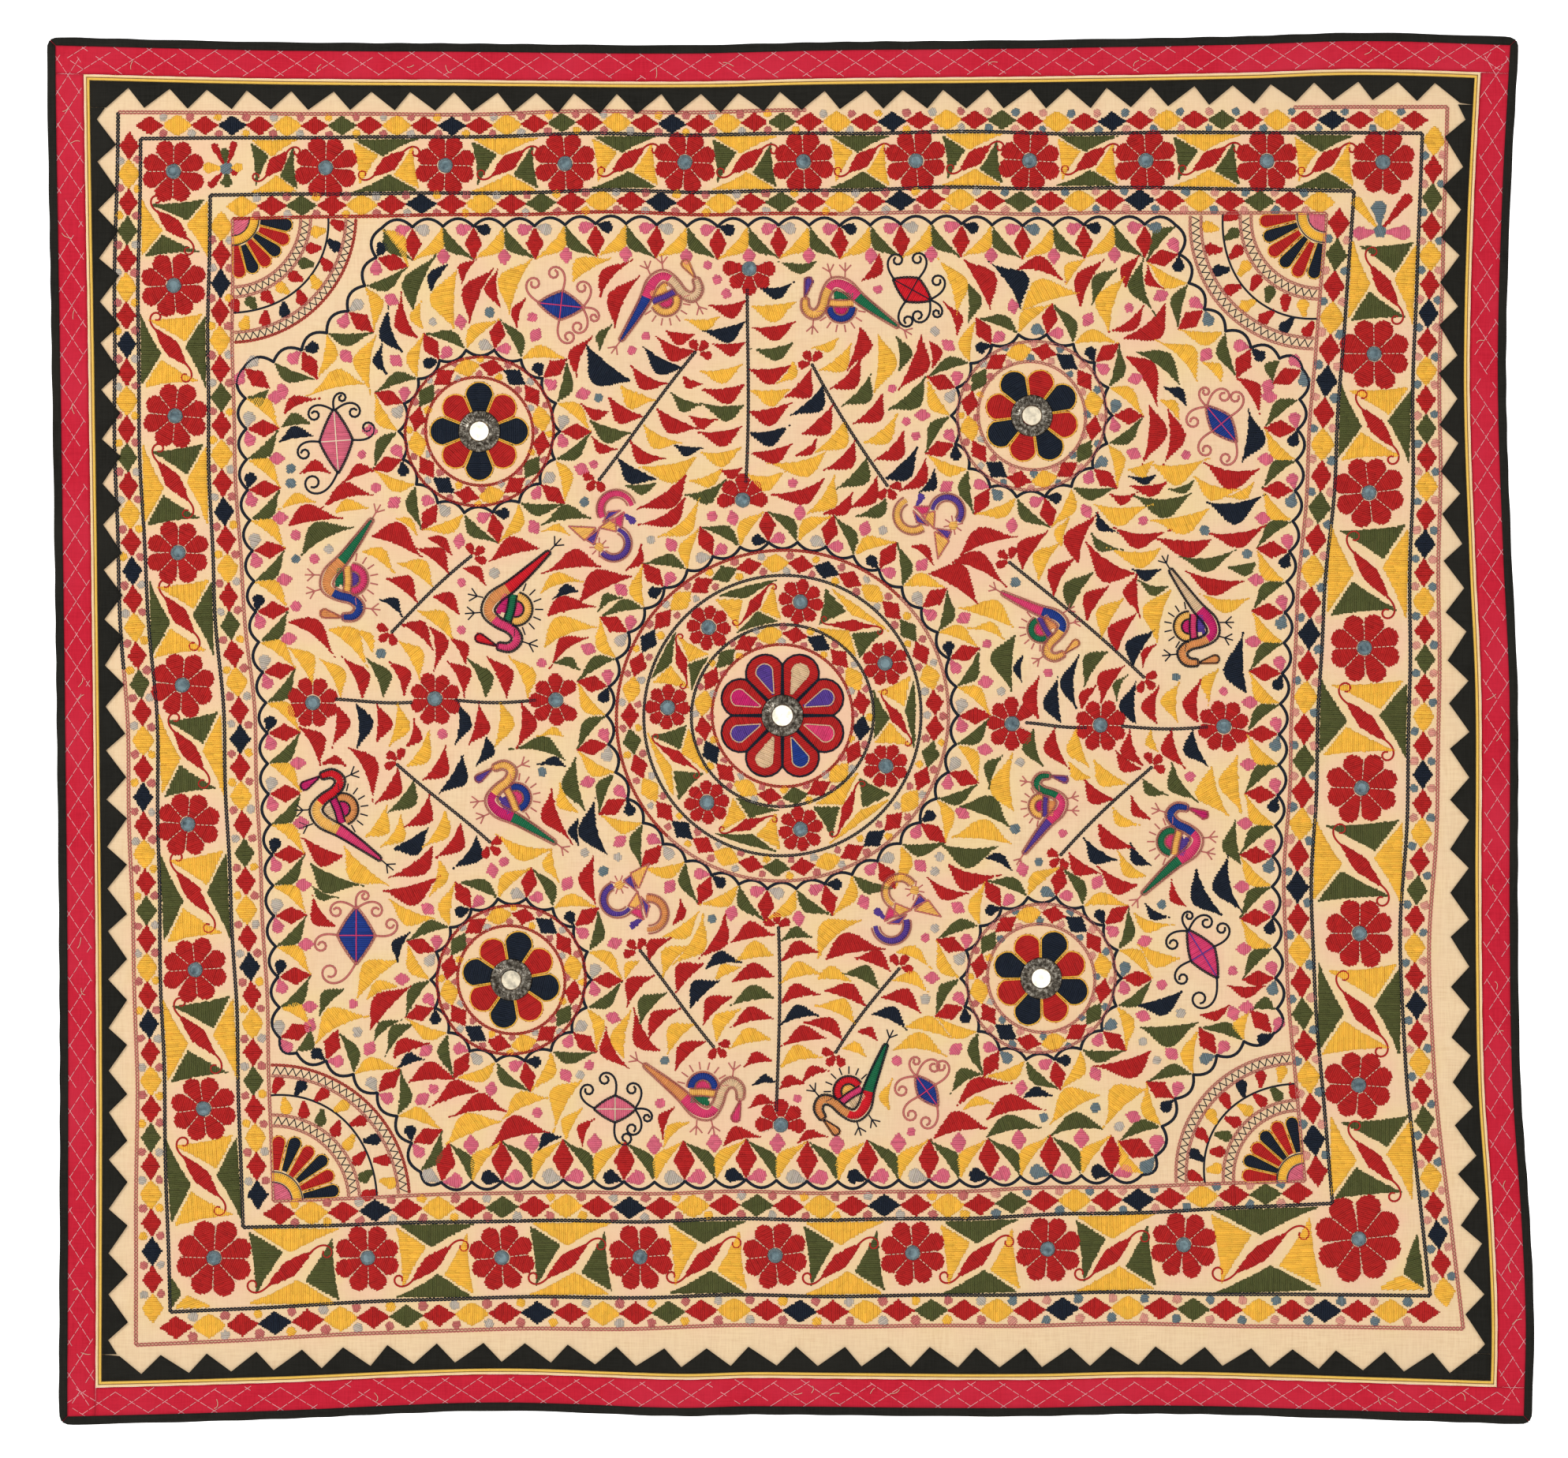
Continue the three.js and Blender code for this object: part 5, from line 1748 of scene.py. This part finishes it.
def bled(colours):
    """How much thread of these colours lies near each point of the ground, from 0 to 1."""
    codes = [THREAD_NAMES.index(name) for name in colours]
    rows = np.vstack([r for kinds in embroidery.values() for r in kinds.get("satin", [])])
    rows = rows[np.isin(rows[:, -1], codes)]
    length = np.hypot(rows[:, 2] - rows[:, 0], rows[:, 3] - rows[:, 1])
    edges = [np.arange(low, high, BLEED_CELL) for low, high in zip(BLEED_FROM, BLEED_TO)]
    middles = (rows[:, :2] + rows[:, 2:4]) / 2
    count = np.histogram2d(*middles.T, edges, weights=length)[0]
    for _ in range(BLEED_BLUR):
        count = sum(np.roll(count, (i, j), (0, 1)) for i in (-1, 0, 1) for j in (-1, 0, 1)) / 9
    points = np.array([vert.co[:] for vert in ground.data.vertices]) / MM
    i, j = (((points[:, axis] - low) / BLEED_CELL).astype(int).clip(0, cells - 1)
            for axis, low, cells in zip((0, 2), BLEED_FROM, count.shape))
    return (count[i, j] / (0.5 * BLEED_CELL ** 2 / PITCH)).clip(0, 1)


last = cream_colour
for name, colours, tinge, most in BLEEDS:
    near_thread = bled(colours)
    ground.data.attributes.new(name, "FLOAT", "POINT").data.foreach_set("value", near_thread)
    stain = add_node(cream_cotton, "ShaderNodeAttribute", attribute_name=name)
    amount = add_node(cream_cotton, "ShaderNodeMath", {1: most}, {0: stain.outputs["Fac"]},
                      operation="MULTIPLY")
    last = add_node(cream_cotton, "ShaderNodeMixRGB", {"Color2": linear(tinge)},
                    {"Fac": amount.outputs[0], "Color1": last}).outputs["Color"]
    print(name, "mean", round(float(near_thread.mean()), 3))
cream_cotton.node_tree.links.new(last, cream_shader.inputs["Base Color"])

# %% [markdown]
# ## Mirrors and rosettes
# The small mirrors are cut from thin blown glass, a little curved and grey-blue with age; the solids
# have their shape, so they only get the glass. Sixteen more sit in the field's flowers. Round the
# five large mirrors lie rosettes of tarnished metal: a smooth inner ring and a coil of flat wire.

# %% Mirror glass
def mirror_glass(name, clear, cloudy, roughness):
    """Silvered glass: bright reflections, clouded in patches where the silvering has aged."""
    material, shader = new_material(name, {"Metallic": 1.0, "Roughness": roughness})
    place = add_node(material, "ShaderNodeTexCoord").outputs["Object"]
    colour = colour_ramp(material, noise(material, place, 5, 5.0), [(0.4, clear), (0.68, cloudy)])
    dress(material, shader, colour, noise(material, place, 9, 1.0), 0.5, 1.0)
    return material


small_glass = mirror_glass("aged mirror glass", "#6C7F84", "#3F4C52", 0.16)
bright_glass = mirror_glass("bright mirror glass", "#FDFCF0", "#D6D2BC", 0.12)
clouded_glass = mirror_glass("clouded mirror glass", "#D9CDB4", "#9A9384", 0.2)
CLOUDED = ("mirror_upper_right", "mirror_lower_left")
for name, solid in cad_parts.items():
    if name.startswith(("flower_mirror", "mirror_")):
        glass = small_glass if name.startswith("flower") else bright_glass
        solid.data.materials.clear()
        solid.data.materials.append(clouded_glass if name in CLOUDED else glass)

MIRROR_RADIUS, MIRROR_THICKNESS, MIRROR_SIDES = 4.4, 1.0, 16
shape = bmesh.new()
field_mirrors = ring_mirrors + [row[0] for row in FIELD_FLOWERS]
for place in field_mirrors:
    disc = bmesh.ops.create_cone(shape, cap_ends=True, segments=MIRROR_SIDES, radius1=MIRROR_RADIUS * MM,
                                 radius2=(MIRROR_RADIUS - 0.3) * MM, depth=MIRROR_THICKNESS * MM)
    depth = ON_GROUND + MIRROR_THICKNESS / 2
    for vert in disc["verts"]:
        x, up, z = place.real * MM + vert.co.x, vert.co.z, place.imag * MM + vert.co.y
        vert.co = (x, (surface(x / MM, z / MM) - depth) * MM - up, z)
bmesh.ops.recalc_face_normals(shape, faces=shape.faces)
fit(shape_piece("field_mirrors", shape, small_glass, False), "mirror_glass")
print("mirrors added:", len(field_mirrors))

# %% Metal rosettes
ROSETTE_RADIUS, ROSETTE_HEIGHT, ROSETTE_CLEARANCE = 16.0, 1.5, 0.6
# How many wires there are, and half their width and height
WIRES, WIRE_SIDE, WIRE_RISE = 46, 0.62, 0.55
SPIN_STEPS = 48


def tarnished_metal():
    """Tarnished silver-coloured metal: dark in the hollows, with bright rubbed glints."""
    material, shader = new_material("tarnished silver-plated wire", {"Metallic": 1.0, "Roughness": 0.36})
    place = add_node(material, "ShaderNodeTexCoord").outputs["Object"]
    tarnish = noise(material, place, 2.2, 4.0)
    colour = colour_ramp(material, tarnish, [(0.36, "#3B342D"), (0.54, "#736C61"), (0.72, "#BDB7AA")])
    dress(material, shader, colour, tarnish, 0.6, 0.25)
    return material


def rosette(name, centre, mirror_radius, material):
    """A ring turned from a rounded profile, with radial wires wound over its outer part."""
    hole = mirror_radius + ROSETTE_CLEARANCE
    ring = bmesh.new()
    # Rows of (radius, height) from the hole to the outer edge
    section = [(hole, 0), (hole, 1.2), (hole + 0.4, ROSETTE_HEIGHT), (hole + 2.2, ROSETTE_HEIGHT),
               (hole + 2.7, 1.0), (ROSETTE_RADIUS - 1.6, 1.0), (ROSETTE_RADIUS - 0.4, 0.6),
               (ROSETTE_RADIUS, 0)]
    verts = [ring.verts.new((r * MM, 0, h * MM)) for r, h in section]
    edges = [ring.edges.new(pair) for pair in zip(verts, verts[1:] + verts[:1])]
    bmesh.ops.spin(ring, geom=verts + edges, cent=(0, 0, 0), axis=(0, 0, 1), angle=2 * math.pi,
                   steps=SPIN_STEPS, use_merge=True)
    wire_middle, wire_length = (hole + 2.6 + ROSETTE_RADIUS) / 2, ROSETTE_RADIUS - hole - 2.2
    for k in range(WIRES):
        ray = np.exp(2j * math.pi * k / WIRES)
        wire = bmesh.ops.create_uvsphere(ring, u_segments=6, v_segments=5, radius=1.0)
        for vert in wire["verts"]:
            spot = ray * complex(wire_middle + vert.co.x * wire_length / 2, vert.co.y * WIRE_SIDE)
            vert.co = (spot.real * MM, spot.imag * MM, (1.0 + WIRE_RISE * vert.co.z) * MM)
    bmesh.ops.recalc_face_normals(ring, faces=ring.faces)
    for vert in ring.verts:
        x, z = centre.real + vert.co.x / MM, centre.imag + vert.co.y / MM
        vert.co = (x * MM, (surface(x, z) - ON_GROUND) * MM - vert.co.z, z * MM)
    bmesh.ops.recalc_face_normals(ring, faces=ring.faces)
    piece = shape_piece(f"wire_rosette_{name}", ring, material, True)
    return fit(piece, "tarnished_metal", f"rosette_{name}")


metal = tarnished_metal()
for name in ("centre", "upper_left", "upper_right", "lower_left", "lower_right"):
    low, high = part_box(f"mirror_{name}")
    piece = rosette(name, mirror_place(f"mirror_{name}"), (high.x - low.x) / 2 / MM, metal)
print("rosette faces:", len(piece.data.polygons))

# %% [markdown]
# ## Light, floor and camera
# The cloth is shown as in a copy studio: even light from both sides, a little more from the upper
# left so that the stitches stand out, a plain pale floor and a white backdrop far behind. The camera
# looks straight at the cloth with a long lens, which keeps the border's lines parallel.

# %% Studio and camera
IMAGE = (1988, 1848)
PIXEL = 0.6 * MM
VIEW_MIDDLE = (-4.5 * MM, -522 * MM)
LENS, SENSOR = 100.0, 36.0
FLOOR_Z, BACKDROP_Y = -2.45, 7.5

scene = bpy.context.scene
scene.view_settings.view_transform = "Standard"
world = bpy.data.worlds.new("soft white room")
world.use_nodes = True
world.node_tree.nodes["Background"].inputs["Color"].default_value = (1, 1, 1, 1)
world.node_tree.nodes["Background"].inputs["Strength"].default_value = 0.42
scene.world = world


def soft_light(name, place, aim, size, power):
    """A rectangular softbox that the camera doesn't see."""
    lamp = bpy.data.lights.new(name, "AREA")
    lamp.shape, lamp.size, lamp.size_y, lamp.energy = "RECTANGLE", size[0], size[1], power
    light = bpy.data.objects.new(name, lamp)
    scene.collection.objects.link(light)
    light.location = place
    light.visible_camera = False
    x, y, z = np.array(aim) - np.array(place)
    light.rotation_euler = (math.atan2(math.hypot(x, y), -z), 0, math.atan2(x, -y) + math.pi)


soft_light("key softbox", (-2.4, -2.6, 1.1), (0, 0, -0.5), (1.6, 1.6), 52)
soft_light("fill softbox", (2.6, -2.8, 0.2), (0, 0, -0.5), (2.0, 2.0), 22)
# A large one behind the camera, which the mirrors show
soft_light("front softbox", (0, -4.6, -0.5), (0, 0, -0.5), (3.2, 3.2), 32)


def stage_plane(name, size, place, upright, values):
    """A large square of one material, lying or upright."""
    shape = bmesh.new()
    bmesh.ops.create_grid(shape, x_segments=1, y_segments=1, size=size)
    for vert in shape.verts:
        x, y = vert.co.x, vert.co.y
        flat = (x, 0, y) if upright else (x, y, 0)
        vert.co = [start + off for start, off in zip(place, flat)]
    shape_piece(name, shape, new_material(name, values)[0], False)


stage_plane("pale floor", 14, (0, 0, FLOOR_Z), False, {"Base Color": linear("#F2F0EC"), "Roughness": 0.9})
stage_plane("white backdrop", 14, (0, BACKDROP_Y, 8), True, {
    "Base Color": (1, 1, 1, 1), "Emission Color": (1, 1, 1, 1), "Emission Strength": 1.0, "Roughness": 1.0})

camera_data = bpy.data.cameras.new("camera")
camera_data.lens, camera_data.sensor_width = LENS, SENSOR
camera = bpy.data.objects.new("camera", camera_data)
scene.collection.objects.link(camera)
distance = IMAGE[0] * PIXEL * LENS / SENSOR
camera.location = (VIEW_MIDDLE[0], -distance, VIEW_MIDDLE[1])
camera.rotation_euler = (math.pi / 2, 0, 0)
scene.camera = camera
print("camera distance in m:", round(distance, 3))
